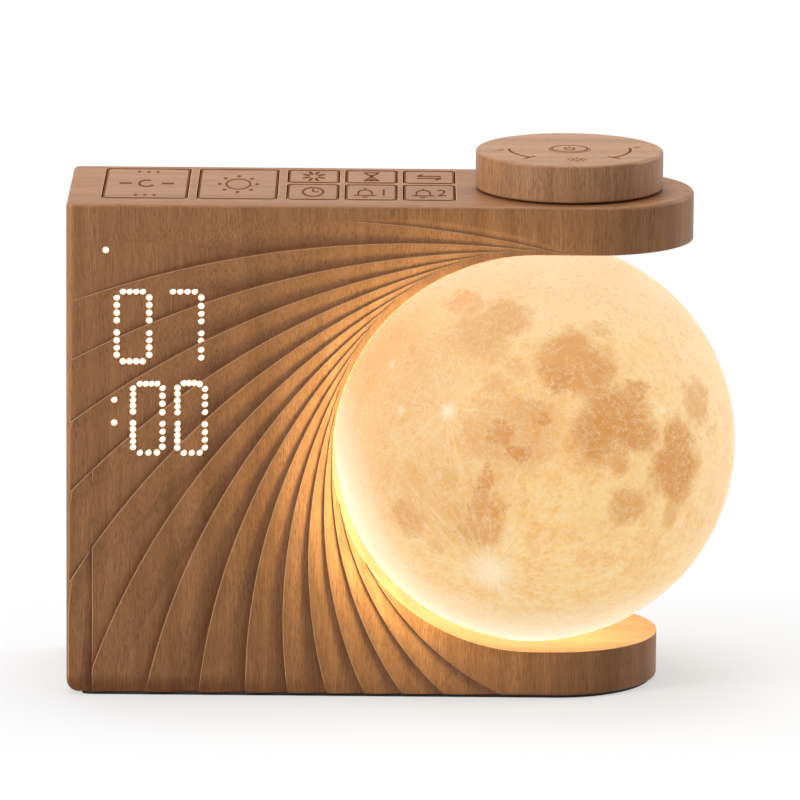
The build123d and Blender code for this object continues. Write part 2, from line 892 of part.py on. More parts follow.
def single_dots():
    x0, z0, _ = digit_places()[2]
    x1, z1, _ = digit_places()[0]
    colon = [(x0 - colon_shift, z0 + colon_low), (x0 - colon_shift, z0 + colon_high)]
    return colon + [(x1 - mark_shift, z1 + mark_rise)]


def display_baffle():
    y0 = front_y + window_wall
    edge = baffle_gap
    x0 = left_x + window_left + edge
    x1 = x0 + window_width - 2 * edge
    z0 = window_bottom + edge
    z1 = window_top - edge
    baffle = block(x0, x1, y0, y0 + baffle_thickness, z0, z1)
    cell = dot_size + 2 * dot_gap
    length = (dots_in_stroke - 1) * dot_pitch + cell
    for digit in digit_places():
        for x, z, turn in strokes(*digit):
            slot = Pos(x, z) * Rot(0, 0, turn) * Rectangle(length, cell)
            baffle -= front_outline(slot, y0, y0 + baffle_thickness)
    for x, z in single_dots():
        baffle -= front_outline(Pos(x, z) * Rectangle(cell, cell), y0, y0 + baffle_thickness)
    return baffle


def display_board_y():
    return front_y + window_wall + baffle_thickness


def display_board():
    y0 = display_board_y()
    low = inner_left + board_edge_gap
    high = left_x + window_left + window_width + display_board_spare
    board = block(low, high, y0, y0 + board_thickness, window_bottom, window_top)
    for x, z in display_screw_places():
        board -= lying(x, z, screw_hole + screw_pass_gap, y0, y0 + board_thickness)
    return board


def display_leds():
    y1 = display_board_y()
    y0 = y1 - dot_height
    s = dot_size / 2
    places = single_dots()
    for digit in digit_places():
        for x, z, turn in strokes(*digit):
            for i in range(dots_in_stroke):
                shift = (i - (dots_in_stroke - 1) / 2) * dot_pitch
                places.append((x, z + shift) if turn else (x + shift, z))
    return [block(x - s, x + s, y0, y1, z - s, z + s) for x, z in places]


def display_screws():
    y0 = display_board_y() + board_thickness
    gap = display_board_y() - inner_front
    turned = Rot(-90, 0, 0) * screw(board_thickness + gap + display_thread - thread_spare)
    return [Pos(x, y0, z) * turned for x, z in display_screw_places()]


def display_spacers():
    # Sleeves that carry the display board off the front wall.
    rings = []
    for x, z in display_screw_places():
        sleeve = lying(x, z, spacer_radius, inner_front, display_board_y())
        rings.append(sleeve - lying(x, z, screw_hole + spacer_gap, inner_front, display_board_y()))
    return rings


def speaker_face():
    return cover_y - speaker_seat - gasket_thickness


def speaker_gasket():
    y0 = speaker_face()
    y1 = cover_y - speaker_seat
    ring = lying(speaker_x, speaker_z, speaker_radius, y0, y1)
    return ring - lying(speaker_x, speaker_z, speaker_radius - gasket_width, y0, y1)


def about_speaker(profile):
    # Turns a profile of radius and y about the speaker's axis.
    return Pos(speaker_x, 0, speaker_z) * revolve(make_face(Polyline(*profile, profile[0])), Axis.Y)


def speaker_basket():
    y = speaker_face()
    r = speaker_radius
    t = basket_wall
    neck = r - basket_rim
    floor = y - basket_depth
    out = r + t / 2
    basket = about_speaker([
        (r, y), (r, y - t), (neck, y - t), (basket_floor_radius, floor), (coil_radius, floor),
        (coil_radius, floor - t), (basket_floor_radius + t, floor - t), (neck + t, y - 2 * t),
        (out, y - 2 * t), (out, y)])
    back = y - ear_thickness
    for x, z in speaker_screw_places():
        ear = lying(x, z, speaker_ear, back, y)
        basket += ear - lying(speaker_x, speaker_z, r - over, back - over, y + over)
    for x, z in speaker_screw_places():
        basket -= lying(x, z, screw_hole + screw_pass_gap, back, y)
    return basket


def speaker_cone():
    y = speaker_face()
    rim = speaker_radius - cone_gap
    edge = rim - surround_width
    coil = coil_radius - coil_wall
    fold = y - cone_depth
    return about_speaker([
        (rim, y), (edge, y), (coil, fold), (0, y - dome_depth), (0, y - dome_depth - cone_wall),
        (coil, fold - cone_wall), (coil, y - coil_depth), (coil_radius, y - coil_depth),
        (coil_radius, fold - cone_wall), (edge, y - cone_wall), (rim, y - cone_wall)])


def speaker_magnet():
    y = speaker_face() - basket_depth - basket_wall
    return about_speaker([(0, y), (disc_radius, y), (disc_radius, y - disc_height), (0, y - disc_height)])


def speaker_screws():
    y = speaker_face() - ear_thickness
    length = ear_thickness + gasket_thickness + speaker_seat + ear_thread - thread_spare
    turned = Rot(90, 0, 0) * screw(length)
    return [Pos(x, y, z) * turned for x, z in speaker_screw_places()]


def main_board_y():
    return cover_y - board_stand


def main_board():
    y1 = main_board_y()
    place = Pos(main_board_x, y1 - board_thickness / 2, main_board_z)
    board = place * Box(main_board_width, board_thickness, main_board_height)
    for x, z in board_post_places():
        board -= lying(x, z, screw_hole + screw_pass_gap, y1 - board_thickness, y1)
    return board


def main_board_screws():
    y0 = main_board_y() - board_thickness
    turned = Rot(90, 0, 0) * screw(board_thickness + main_thread)
    return [Pos(x, y0, z) * turned for x, z in board_post_places()]


def board_chips():
    y1 = main_board_y() - board_thickness
    chips = []
    for dx, dz, w, h, t in chip_sizes:
        x = main_board_x + dx
        z = main_board_z + dz
        chips.append(block(x - w / 2, x + w / 2, y1 - t, y1, z - h / 2, z + h / 2))
    return chips


def cell_place():
    return main_board_x + cell_shift_x, main_board_z + cell_shift_z


def cell_holder():
    x, z = cell_place()
    y1 = main_board_y() - board_thickness
    y0 = y1 - cell_height - cell_floor
    inner = cell_radius + cell_gap
    holder = lying(x, z, inner + cell_wall, y0, y1) - lying(x, z, inner, y0, y1 - cell_floor)
    half = cell_slot_width / 2
    low = z + cell_radius - cell_slot_depth
    high = z + cell_radius + cell_slot_depth
    return holder - block(x - half, x + half, y0, y1 - cell_floor, low, high)


def coin_cell():
    x, z = cell_place()
    y1 = main_board_y() - board_thickness - cell_floor
    cell = lying(x, z, cell_radius, y1 - cell_height, y1)
    return chamfer(cell.faces().sort_by(Axis.Y)[0].edges(), cell_edge)


def usb_socket():
    y0 = main_board_y()
    y1 = y0 + usb_length
    outer = Pos(usb_x, usb_z) * RectangleRounded(usb_width, usb_height, usb_corner)
    mouth = offset(outer, -usb_skin)
    socket = front_outline(outer, y0, y1) - front_outline(mouth, y0 + usb_back, y1)
    tongue = Pos(usb_x, usb_z) * Rectangle(usb_tongue_width, usb_tongue)
    return socket + front_outline(tongue, y0 + usb_back, y1 - usb_tongue_setback)


def group(solids):
    return Compound(children=list(solids))


parts = {
    "housing": housing(),
    "rear_cover": rear_cover(),
    "cover_screws": group(cover_screws()),
    "base_pad": base_pad(),
    "key_switches": group(key_switches()),
    "key_board": key_board(),
    "key_board_screws": group(key_board_screws()),
    "bearing_post": bearing_post(),
    "post_screws": group(post_screws()),
    "retaining_clip": retaining_clip(),
    "dial_knob": dial_knob(),
    "magnet_ring": magnet_ring(),
    "knob_button": knob_button(),
    "button_switch": tact_switch(knob_x, 0, encoder_board_z()),
    "encoder_board": encoder_board(),
    "encoder_screws": group(encoder_screws()),
    "hall_sensors": group(hall_sensors()),
    "moon_shell": moon_shell(),
    "moon_socket": moon_socket(),
    "socket_screws": group(socket_screws()),
    "lamp_board": lamp_board(),
    "lamp_leds": group(lamp_leds()),
    "lamp_diffuser": lamp_diffuser(),
    "display_baffle": display_baffle(),
    "display_board": display_board(),
    "display_leds": group(display_leds()),
    "display_spacers": group(display_spacers()),
    "display_screws": group(display_screws()),
    "speaker_gasket": speaker_gasket(),
    "speaker_basket": speaker_basket(),
    "speaker_cone": speaker_cone(),
    "speaker_magnet": speaker_magnet(),
    "speaker_screws": group(speaker_screws()),
    "main_board": main_board(),
    "main_board_screws": group(main_board_screws()),
    "board_chips": group(board_chips()),
    "cell_holder": cell_holder(),
    "coin_cell": coin_cell(),
    "usb_socket": usb_socket(),
}
for name, limits in key_places().items():
    parts[name] = key(*limits)

os.makedirs("parts", exist_ok=True)
for name, solid in parts.items():
    export_step(solid, f"parts/{name}.step")
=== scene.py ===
from math import cos, pi, radians, sin

import bpy
from mathutils import Matrix, Vector


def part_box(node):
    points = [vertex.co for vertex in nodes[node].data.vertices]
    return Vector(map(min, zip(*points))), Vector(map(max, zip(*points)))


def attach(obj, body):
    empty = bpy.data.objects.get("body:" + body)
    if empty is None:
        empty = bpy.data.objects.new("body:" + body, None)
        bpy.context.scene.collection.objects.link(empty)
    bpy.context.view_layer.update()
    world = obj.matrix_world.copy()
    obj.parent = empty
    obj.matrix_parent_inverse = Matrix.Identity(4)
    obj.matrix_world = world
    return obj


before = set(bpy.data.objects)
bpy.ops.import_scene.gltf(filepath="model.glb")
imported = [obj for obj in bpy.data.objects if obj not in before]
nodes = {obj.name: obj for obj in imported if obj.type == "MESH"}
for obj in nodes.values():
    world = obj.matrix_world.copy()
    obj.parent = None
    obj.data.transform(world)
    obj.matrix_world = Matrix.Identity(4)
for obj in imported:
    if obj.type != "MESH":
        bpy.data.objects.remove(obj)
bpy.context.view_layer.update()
mm = 0.001
print("frame loaded")


def hexColour(code):
    # sRGB hex to the linear values that nodes take
    channels = [int(code[i:i + 2], 16) / 255 for i in (0, 2, 4)]
    return [c / 12.92 if c <= 0.04045 else ((c + 0.055) / 1.055) ** 2.4 for c in channels] + [1.0]


def addNode(tree, kind, settings=None, links=None):
    # one node: settings go to its own attributes or its sockets, links come from other sockets
    node = tree.nodes.new("ShaderNode" + kind)
    for name, value in (settings or {}).items():
        if isinstance(name, str) and hasattr(node, name):
            setattr(node, name, value)
        else:
            node.inputs[name].default_value = value
    for name, source in (links or {}).items():
        tree.links.new(source, node.inputs[name])
    return node


def newMaterial(name, settings):
    # a material with one Principled shader; returns it with its node tree and the shader
    material = bpy.data.materials.new(name)
    material.use_nodes = True
    shader = material.node_tree.nodes["Principled BSDF"]
    for socket, value in settings.items():
        shader.inputs[socket].default_value = value
    return material, material.node_tree, shader


def paint(names, material):
    for name in names:
        mesh = nodes[name].data
        mesh.materials.clear()
        mesh.materials.append(material)


# Camera: a long lens, a little above the clock
camera = {
    "place": (-2.6, -2343.1, 585.0), "downAngle": 12.067, "turn": 0.043, "roll": 0.483,
    "lens": 360.0, "sensor": 36.0, "farEnd": 20.0,
}


def placeCamera():
    down, turn, roll = (radians(camera[k]) for k in ("downAngle", "turn", "roll"))
    ahead = Vector((sin(turn) * cos(down), cos(turn) * cos(down), -sin(down)))
    level = Vector((cos(turn), -sin(turn), 0))
    up = level.cross(ahead)
    right = level * cos(roll) + up * sin(roll)
    top = up * cos(roll) - level * sin(roll)
    data = bpy.data.cameras.new("camera")
    data.lens = camera["lens"]
    data.sensor_width = camera["sensor"]
    data.clip_end = camera["farEnd"]
    view = bpy.data.objects.new("camera", data)
    bpy.context.scene.collection.objects.link(view)
    turned = Matrix((right, top, -ahead)).transposed().to_4x4()
    view.matrix_world = Matrix.Translation(Vector(camera["place"]) * mm) @ turned
    bpy.context.scene.camera = view


placeCamera()
print("camera placed")


globeCentre = (39.6, 0.0, 72.24)  # the middle of the globe, in millimetres

# Steamed beech, planed, carved and oiled: satin brown with short dark ray flecks along the grain,
# a painted highlight on outer edges, and painted shade in the feet of carved steps and round the opening
beech = {
    # the edge colour is a painted highlight, and C8B6A4 and CABFB6 are painted shade: at the feet of the
    # steps, and round the opening
    "pale": "A06F48", "deep": "875B36", "fleck": "643F23", "edge": "E2B88C", "stepShade": "C8B6A4",
    "wallShade": "CABFB6", "wallShadeCentre": (34.6, 0.0, 74.5), "roughness": 0.5, "shine": 0.3,
    "levelFrom": 0.7,  # a face counts as level from here: 0 is upright and 1 is flat
    "edgeRadius": 0.36, "stepReach": 7.0,  # rounding that places the painted edge highlight, and how far round a step occlusion looks for the painted shade
    "bump": 0.25, "bumpDepth": 0.06, "fleckDepth": 0.6,
    # drawn out along the grain: width and length in millimetres, detail and distortion
    "patterns": {
        "bands": (6.0, 150.0, 3.0, 0.4), "fibres": (0.24, 9.0, 2.0, 0.0),
        "flecks": (0.17, 2.6, 1.0, 0.0), "patches": (7.0, 12.0, 2.0, 0.0),
    },
    # how far each value counts: the value, where it starts and ends, and the share at either end
    "shares": {
        "light": ("bands", 0.3, 0.7, 0.0, 1.0), "threads": ("fibres", 0.25, 0.75, 0.72, 1.28),
        "sharp": ("flecks", 0.55, 0.63, 0.0, 1.0), "thick": ("patches", 0.35, 0.65, 0.35, 0.70),
        # painted highlight on rounded outer edges, and painted shade where the ambient occlusion finds a
        # step
        "edgeHighlight": ("match", 0.998, 0.93, 0.0, 0.9), "outer": ("shelter", 0.72, 0.95, 0.0, 1.0),
        "occluded": ("shelter", 0.98, 0.82, 0.0, 1.0),
        # millimetres from the globe's centre, where the painted step shade fades in, and from the middle of
        # the painted shade round the opening
        "apart": ("reach", 68.0, 125.0, 0.0, 1.0), "wallShaded": ("across", 63.0, 56.0, 0.0, 1.0),
    },
}


def makeBeech(name, look):
    material, tree, shader = newMaterial(name, {
        "IOR": 1.5, "Roughness": look["roughness"], "Specular IOR Level": look["shine"]})
    coords = addNode(tree, "TexCoord").outputs["Object"]
    # from here on places are in millimetres
    place = addNode(tree, "VectorMath", {"operation": "SCALE", "Scale": 1 / mm}, {0: coords}).outputs[0]
    normal = addNode(tree, "NewGeometry").outputs["Normal"]
    # the grain stands upright on the front and runs across on level faces
    turned = addNode(tree, "Mapping", {"Rotation": (0, pi / 2, 0)}, {"Vector": place})
    split = addNode(tree, "SeparateXYZ", links={0: normal})
    level = addNode(tree, "Math", {"operation": "ABSOLUTE"}, {0: split.outputs["Z"]})
    lying = addNode(tree, "Math", {"operation": "GREATER_THAN", 1: look["levelFrom"]}, {0: level.outputs[0]})
    grain = addNode(tree, "Mix", {"data_type": "VECTOR"}, {
        "Factor": lying.outputs[0], 4: place, 5: turned.outputs[0]})
    values = {}
    for pattern, (width, length, detail, distortion) in look["patterns"].items():
        stretched = addNode(tree, "Mapping", {"Scale": (1 / width, 1 / width, 1 / length)}, {
            "Vector": grain.outputs[1]})
        values[pattern] = addNode(tree, "TexNoise", {
            "Scale": 1.0, "Detail": detail, "Distortion": distortion}, {
            "Vector": stretched.outputs[0]}).outputs[0]
    rounded = addNode(tree, "Bevel", {"samples": 6, "Radius": look["edgeRadius"] * mm}).outputs[0]
    match = addNode(tree, "VectorMath", {"operation": "DOT_PRODUCT"}, {0: rounded, 1: normal})
    shelter = addNode(tree, "AmbientOcclusion", {"samples": 8, "Distance": look["stepReach"] * mm})
    reach = addNode(tree, "VectorMath", {"operation": "DISTANCE", 1: globeCentre}, {0: place})
    flat = addNode(tree, "VectorMath", {"operation": "MULTIPLY", 1: (1, 0, 1)}, {0: place})
    across = addNode(tree, "VectorMath", {"operation": "DISTANCE", 1: look["wallShadeCentre"]}, {
        0: flat.outputs[0]})
    values.update({
        "match": match.outputs["Value"], "shelter": shelter.outputs["AO"],
        "reach": reach.outputs["Value"], "across": across.outputs["Value"]})
    shares = {}
    for share, (value, start, end, least, most) in look["shares"].items():
        shares[share] = addNode(tree, "MapRange", {
            "From Min": start, "From Max": end, "To Min": least, "To Max": most}, {
            "Value": values[value]}).outputs[0]
    # flecks come in patches, the painted highlight keeps to outer edges, and the painted step shade fades
    # out beside the globe
    for product, one, other in [
            ("fleck", "sharp", "thick"), ("edge", "edgeHighlight", "outer"), ("stepShade", "occluded", "apart")]:
        shares[product] = addNode(tree, "Math", {"operation": "MULTIPLY"}, {
            0: shares[one], 1: shares[other]}).outputs[0]
    tone = addNode(tree, "Mix", {
        "data_type": "RGBA", 6: hexColour(look["deep"]), 7: hexColour(look["pale"])}, {0: shares["light"]})
    grey = addNode(tree, "CombineColor", links={i: shares["threads"] for i in range(3)})
    colour = addNode(tree, "Mix", {"data_type": "RGBA", "blend_type": "MULTIPLY", 0: 1.0}, {
        6: tone.outputs[2], 7: grey.outputs[0]}).outputs[2]
    # painted shade round the opening: keeps its wall and the steps beside it from outshining the globe under
    # its lamps
    # the edge layer is a painted highlight and the layer after it is painted shade at the feet of the steps
    for layer, blend, share in [
            ("fleck", "MIX", "fleck"), ("edge", "MIX", "edge"),
            ("stepShade", "MULTIPLY", "stepShade"), ("wallShade", "MULTIPLY", "wallShaded")]:
        colour = addNode(tree, "Mix", {
            "data_type": "RGBA", "blend_type": blend, 7: hexColour(look[layer])}, {
            0: shares[share], 6: colour}).outputs[2]
    tree.links.new(colour, shader.inputs["Base Color"])
    height = addNode(tree, "Math", {"operation": "MULTIPLY_ADD", 1: -look["fleckDepth"]}, {
        0: shares["fleck"], 2: values["fibres"]})
    bump = addNode(tree, "Bump", {"Strength": look["bump"], "Distance": look["bumpDepth"] * mm}, {
        "Height": height.outputs[0], "Normal": rounded})
    tree.links.new(bump.outputs[0], shader.inputs["Normal"])
    return material


paint(["housing"], makeBeech("beech_oiled", beech))
# the keys are sanded smooth and the knob is turned from a paler piece; both take a fainter painted step
# shade
beechSanded = makeBeech("beech_sanded", {**beech, "stepShade": "ECE6E0", "roughness": 0.45})
paint([n for n in nodes if n.endswith("_key")], beechSanded)
beechTurned = makeBeech("beech_turned", {
    **beech, "pale": "AF8059", "deep": "946844", "stepShade": "ECE6E0", "roughness": 0.45})
paint(["dial_knob", "knob_button"], beechTurned)
print("wood done")


# Printed PLA globe, lit from inside: thin walls glow pale, the maria are printed thicker and stay dark
moon = {
    "centre": globeCentre, "radius": 60.0, "high": "FBD898", "warm": "EDB568", "low": "CA883B",
    "rim": "F7EDCE", "limb": "FFF8E0", "plate": "5A4024", "strength": 0.95,
    # noises over the globe: scale, detail and roughness
    "noises": {
        "ragged": (8.0, 12.0, 0.74), "mottle": (9.0, 12.0, 0.74), "speckle": (38.0, 6.0, 0.8),
        "broad": (2.4, 6.0, 0.6), "wideWalls": (7.0, 7.0, 0.66), "smallWalls": (19.0, 7.0, 0.66),
    },
    # how far each value counts: the value, where it starts and ends, and the share at either end
    "shares": {
        "high": ("mottle", 0.40, 0.58, 0.0, 1.0), "turnedAway": ("facing", 1.0, 0.15, 0.0, 0.38),
        "poles": ("upright", 0.62, 0.98, 0.0, 0.6), "patches": ("broad", 0.48, 0.75, 0.0, 0.18),
        "grains": ("speckle", 0.47, 0.68, 0.0, 0.36), "seaGrains": ("speckle", 0.35, 0.65, 1.0, 0.82),
        "lineGrains": ("speckle", 0.38, 0.60, 0.0, 0.7), "wide": ("wideWalls", 0.008, 0.0, 0.0, 1.0),
        "small": ("smallWalls", 0.018, 0.0, 0.0, 1.0), "lowerLeft": ("side", 0.15, 0.65, 0.0, 1.0),
    },
    # the pale limb: where it fades in, from 1 in the middle to 0 at the outline, and the side it lies on
    "limbFrom": (0.75, 0.22), "limbSide": (-0.5, 0.0, -0.87),
    # how far noise pushes the plains' outlines about and frays them, and the darkness that shows as sea
    "raggedBy": 0.26, "frayedBy": 0.8, "sea": (0.02, 0.9),
    "rayShare": 0.6, "bump": 0.5, "bumpDepth": 0.4,
    # a plain fades out between these shares of its size, and neighbours flow together by this much
    "spread": 1.12, "plainFade": (1.55, 0.60), "plainDepth": 0.7, "flowTogether": 0.12,
    # each plain: degrees right and up from the front, half width and half height in millimetres, darkness
    "maria": [
        (10.8, 35.7, 6.8, 7.3, 0.75), (17.1, 30.8, 6.6, 6.9, 0.8), (6.8, 30.5, 4.6, 4.6, 0.9),
        (23.4, 18.6, 8.4, 7.0, 0.9), (18.0, 12.5, 6.6, 6.6, 0.9), (29.2, 12.3, 6.6, 4.6, 0.85),
        (31.8, 23.6, 2.9, 3.5, 0.8), (23.0, 5.7, 3.1, 3.5, 0.6), (44.1, 8.3, 4.6, 5.8, 0.85),
        (42.5, 1.3, 7.2, 7.2, 0.9), (44.8, -5.7, 4.2, 3.8, 0.75), (42.7, -12.2, 2.7, 3.8, 0.5),
        (25.9, -7.8, 5.0, 5.3, 0.65), (56.3, 18.7, 3.7, 5.5, 0.65), (60.3, 9.6, 1.7, 2.0, 0.4),
        (24.6, 44.8, 2.7, 2.0, 0.45), (-15.2, 48.8, 6.2, 5.0, 0.65), (-22.2, 44.1, 7.6, 5.7, 0.6),
        (-26.4, 38.8, 9.0, 6.0, 0.4), (-16.5, 38.6, 4.6, 4.6, 0.5), (-25.0, 31.8, 8.2, 5.2, 0.3),
        (-37.4, 52.3, 5.7, 2.5, 0.5), (-7.1, 33.1, 3.5, 2.7, 0.4), (-12.4, 27.3, 3.8, 2.7, 0.45),
        (-2.9, 20.2, 6.5, 2.7, 0.6), (1.3, 18.1, 2.3, 1.4, 0.9), (-11.7, 13.5, 3.5, 3.5, 1.1),
        (-5.6, 8.7, 3.5, 2.7, 1.0), (-16.1, 11.2, 3.8, 3.1, 0.45), (-53.4, 16.3, 5.6, 9.7, 0.3),
        (-40.7, 24.1, 2.3, 4.5, 0.3), (-44.8, 5.0, 6.5, 5.0, 0.25), (-32.3, 12.7, 9.0, 3.7, 0.22),
        (-26.5, 1.7, 4.6, 6.1, 0.45), (-15.4, -0.7, 3.1, 5.0, 0.85), (-14.4, -6.9, 5.0, 4.6, 0.8),
        (-17.0, -14.1, 6.5, 4.6, 0.7), (-20.6, -10.4, 4.6, 4.6, 0.45), (-41.1, -13.1, 4.2, 5.0, 0.65),
        (-40.7, -17.8, 3.1, 2.0, 0.5), (-32.1, -20.8, 2.9, 3.1, 0.4), (-35.0, 5.2, 1.2, 1.6, 0.5),
        # wide, faint plains that join the dark ones
        (-45.0, 15.0, 17.0, 27.0, 0.38), (-25.0, 1.0, 17.0, 20.0, 0.36), (-10.0, 14.0, 13.0, 10.0, 0.55),
    ],
    # streaks round a bright crater: how fine, and which share of a noise shows; then width and strength
    # of their fade and of the crater's core, as shares of the reach and strength below
    "streakScale": 13.0, "streaks": (0.50, 0.62), "fade": (1.7, 1.0), "core": (0.26, 2.7),
    # bright craters with rays: degrees right and up, reach in degrees, strength
    "rays": [(-14.6, -28.4, 44.0, 0.36), (-27.7, 18.9, 15.0, 0.40), (-55.0, 29.2, 7.0, 0.3),
             (-44.5, 16.9, 9.0, 0.25), (40.2, 18.2, 7.0, 0.3)],
}


def onGlobe(right, up):
    # unit vector at so many degrees right and up from the middle of the front
    a, b = radians(right), radians(up)
    return Vector((sin(a) * cos(b), -cos(a) * cos(b), sin(b)))


def makeMoonPla(look):
    material, tree, shader = newMaterial("moon_pla_lit", {
        "IOR": 1.46, "Roughness": 0.6, "Base Color": hexColour(look["plate"]),
        "Emission Strength": look["strength"]})
    coords = addNode(tree, "TexCoord").outputs["Object"]
    middle = [-c / look["radius"] for c in look["centre"]]
    unit = addNode(tree, "Mapping", {"Scale": [1 / mm / look["radius"]] * 3, "Location": middle}, {
        "Vector": coords}).outputs[0]
    noises = {}
    for name, (scale, detail, roughness) in look["noises"].items():
        noises[name] = addNode(tree, "TexNoise", {
            "Scale": scale, "Detail": detail, "Roughness": roughness}, {"Vector": unit}).outputs
    values = {name: outputs[0] for name, outputs in noises.items()}

    # the plains: ovals on the globe with their outlines pushed about by noise
    centred = addNode(tree, "VectorMath", {"operation": "SUBTRACT", 1: (0.5, 0.5, 0.5)}, {
        0: noises["ragged"]["Color"]})
    shift = addNode(tree, "VectorMath", {"operation": "SCALE", "Scale": look["raggedBy"]}, {
        0: centred.outputs[0]})
    ragged = addNode(tree, "VectorMath", {"operation": "ADD"}, {0: unit, 1: shift.outputs[0]}).outputs[0]
    fadeStart, fadeEnd = look["plainFade"]
    dark = None
    for right, up, halfWidth, halfHeight, darkness in look["maria"]:
        wide, high = (half * look["spread"] / look["radius"] for half in (halfWidth, halfHeight))
        size = Vector((1 / wide, look["plainDepth"] / max(wide, high), 1 / high))
        place = onGlobe(right, up) * size
        here = addNode(tree, "Mapping", {"Scale": size, "Location": -place}, {"Vector": ragged})
        far = addNode(tree, "VectorMath", {"operation": "LENGTH"}, {0: here.outputs[0]})
        spot = addNode(tree, "MapRange", {
            "interpolation_type": "SMOOTHSTEP", "From Min": fadeStart, "From Max": fadeEnd,
            "To Max": darkness}, {"Value": far.outputs["Value"]}).outputs[0]
        dark = spot if dark is None else addNode(tree, "Math", {
            "operation": "SMOOTH_MAX", 2: look["flowTogether"]}, {0: dark, 1: spot}).outputs[0]

    # the rays: thin streaks that run out from a crater, and its bright core
    glow = None
    for right, up, reach, strength in look["rays"]:
        here = addNode(tree, "VectorMath", {"operation": "SUBTRACT", 1: onGlobe(right, up)}, {0: unit})
        far = addNode(tree, "VectorMath", {"operation": "LENGTH"}, {0: here.outputs[0]}).outputs["Value"]
        away = addNode(tree, "VectorMath", {"operation": "NORMALIZE"}, {0: here.outputs[0]})
        streaks = addNode(tree, "TexNoise", {"Scale": look["streakScale"], "Detail": 6.0}, {
            "Vector": away.outputs[0]})
        thin = addNode(tree, "MapRange", {
            "From Min": look["streaks"][0], "From Max": look["streaks"][1]}, {"Value": streaks.outputs[0]})
        fade, core = (addNode(tree, "MapRange", {
            "interpolation_type": "SMOOTHSTEP", "From Min": radians(reach * width), "From Max": 0.0,
            "To Max": strength * times}, {"Value": far}) for width, times in (look["fade"], look["core"]))
        ray = addNode(tree, "Math", {"operation": "MULTIPLY_ADD"}, {
            0: thin.outputs[0], 1: fade.outputs[0], 2: core.outputs[0]}).outputs[0]
        glow = ray if glow is None else addNode(tree, "Math", {"operation": "ADD"}, {
            0: glow, 1: ray}).outputs[0]

    # thin bright lines where a noise passes its middle value, as the walls of small craters
    for name in ("wideWalls", "smallWalls"):
        gap = addNode(tree, "Math", {"operation": "SUBTRACT", 1: 0.5}, {0: values[name]})
        values[name] = addNode(tree, "Math", {"operation": "ABSOLUTE"}, {0: gap.outputs[0]}).outputs[0]
    split = addNode(tree, "SeparateXYZ", links={0: unit})
    for name, axis in (("facing", "Y"), ("upright", "Z")):
        values[name] = addNode(tree, "Math", {"operation": "ABSOLUTE"}, {0: split.outputs[axis]}).outputs[0]
    values["side"] = addNode(tree, "VectorMath", {"operation": "DOT_PRODUCT", 1: look["limbSide"]}, {
        0: unit}).outputs["Value"]
    shares = {}
    for name, (value, start, end, least, most) in look["shares"].items():
        shares[name] = addNode(tree, "MapRange", {
            "From Min": start, "From Max": end, "To Min": least, "To Max": most}, {
            "Value": values[value]}).outputs[0]
    frayed = addNode(tree, "Math", {
        "operation": "MULTIPLY_ADD", 1: look["frayedBy"], 2: -look["frayedBy"] / 2}, {0: values["mottle"]})
    soft = addNode(tree, "Math", {"operation": "ADD"}, {0: dark, 1: frayed.outputs[0]})
    sea = addNode(tree, "MapRange", {"From Min": look["sea"][0], "From Max": look["sea"][1]}, {
        "Value": soft.outputs[0]})
    shares["sea"] = addNode(tree, "Math", {"operation": "MULTIPLY", "use_clamp": True}, {
        0: sea.outputs[0], 1: shares["seaGrains"]}).outputs[0]
    walls = addNode(tree, "Math", {"operation": "MAXIMUM"}, {0: shares["wide"], 1: shares["small"]})
    shares["walls"] = addNode(tree, "Math", {"operation": "MULTIPLY"}, {
        0: walls.outputs[0], 1: shares["lineGrains"]}).outputs[0]
    shares["rays"] = addNode(tree, "Math", {
        "operation": "MULTIPLY", 1: look["rayShare"], "use_clamp": True}, {0: glow}).outputs[0]
    # the lower left of the outline is the palest, beside the lit wood
    turning = addNode(tree, "MapRange", {
        "interpolation_type": "SMOOTHSTEP", "From Min": look["limbFrom"][0],
        "From Max": look["limbFrom"][1]}, {"Value": values["facing"]})
    shares["limb"] = addNode(tree, "Math", {"operation": "MULTIPLY"}, {
        0: turning.outputs[0], 1: shares["lowerLeft"]}).outputs[0]

    colour = addNode(tree, "Mix", {
        "data_type": "RGBA", 6: hexColour(look["warm"]), 7: hexColour(look["high"])}, {
        0: shares["high"]}).outputs[2]
    for layer, share in [
            ("rim", "turnedAway"), ("rim", "poles"), ("low", "patches"), ("low", "grains"),
            ("low", "sea"), ("rim", "walls"), ("rim", "rays"), ("limb", "limb")]:
        colour = addNode(tree, "Mix", {"data_type": "RGBA", 7: hexColour(look[layer])}, {
            0: shares[share], 6: colour}).outputs[2]
    tree.links.new(colour, shader.inputs["Emission Color"])
    bump = addNode(tree, "Bump", {"Strength": look["bump"], "Distance": look["bumpDepth"] * mm}, {
        "Height": values["mottle"]})
    tree.links.new(bump.outputs[0], shader.inputs["Normal"])
    return material


paint(["moon_shell"], makeMoonPla(moon))
print("globe done")


# Hidden pieces: how much lighter the grit's tips are and how deep it is in millimetres, and how far the
# lines of drawn metal run and how much the roughness varies over them
moulded = {"lighter": 1.25, "bump": 0.35, "bumpDepth": 0.05}
drawnMetal = {"drawOut": 20.0, "duller": 1.3, "brighter": 0.7}


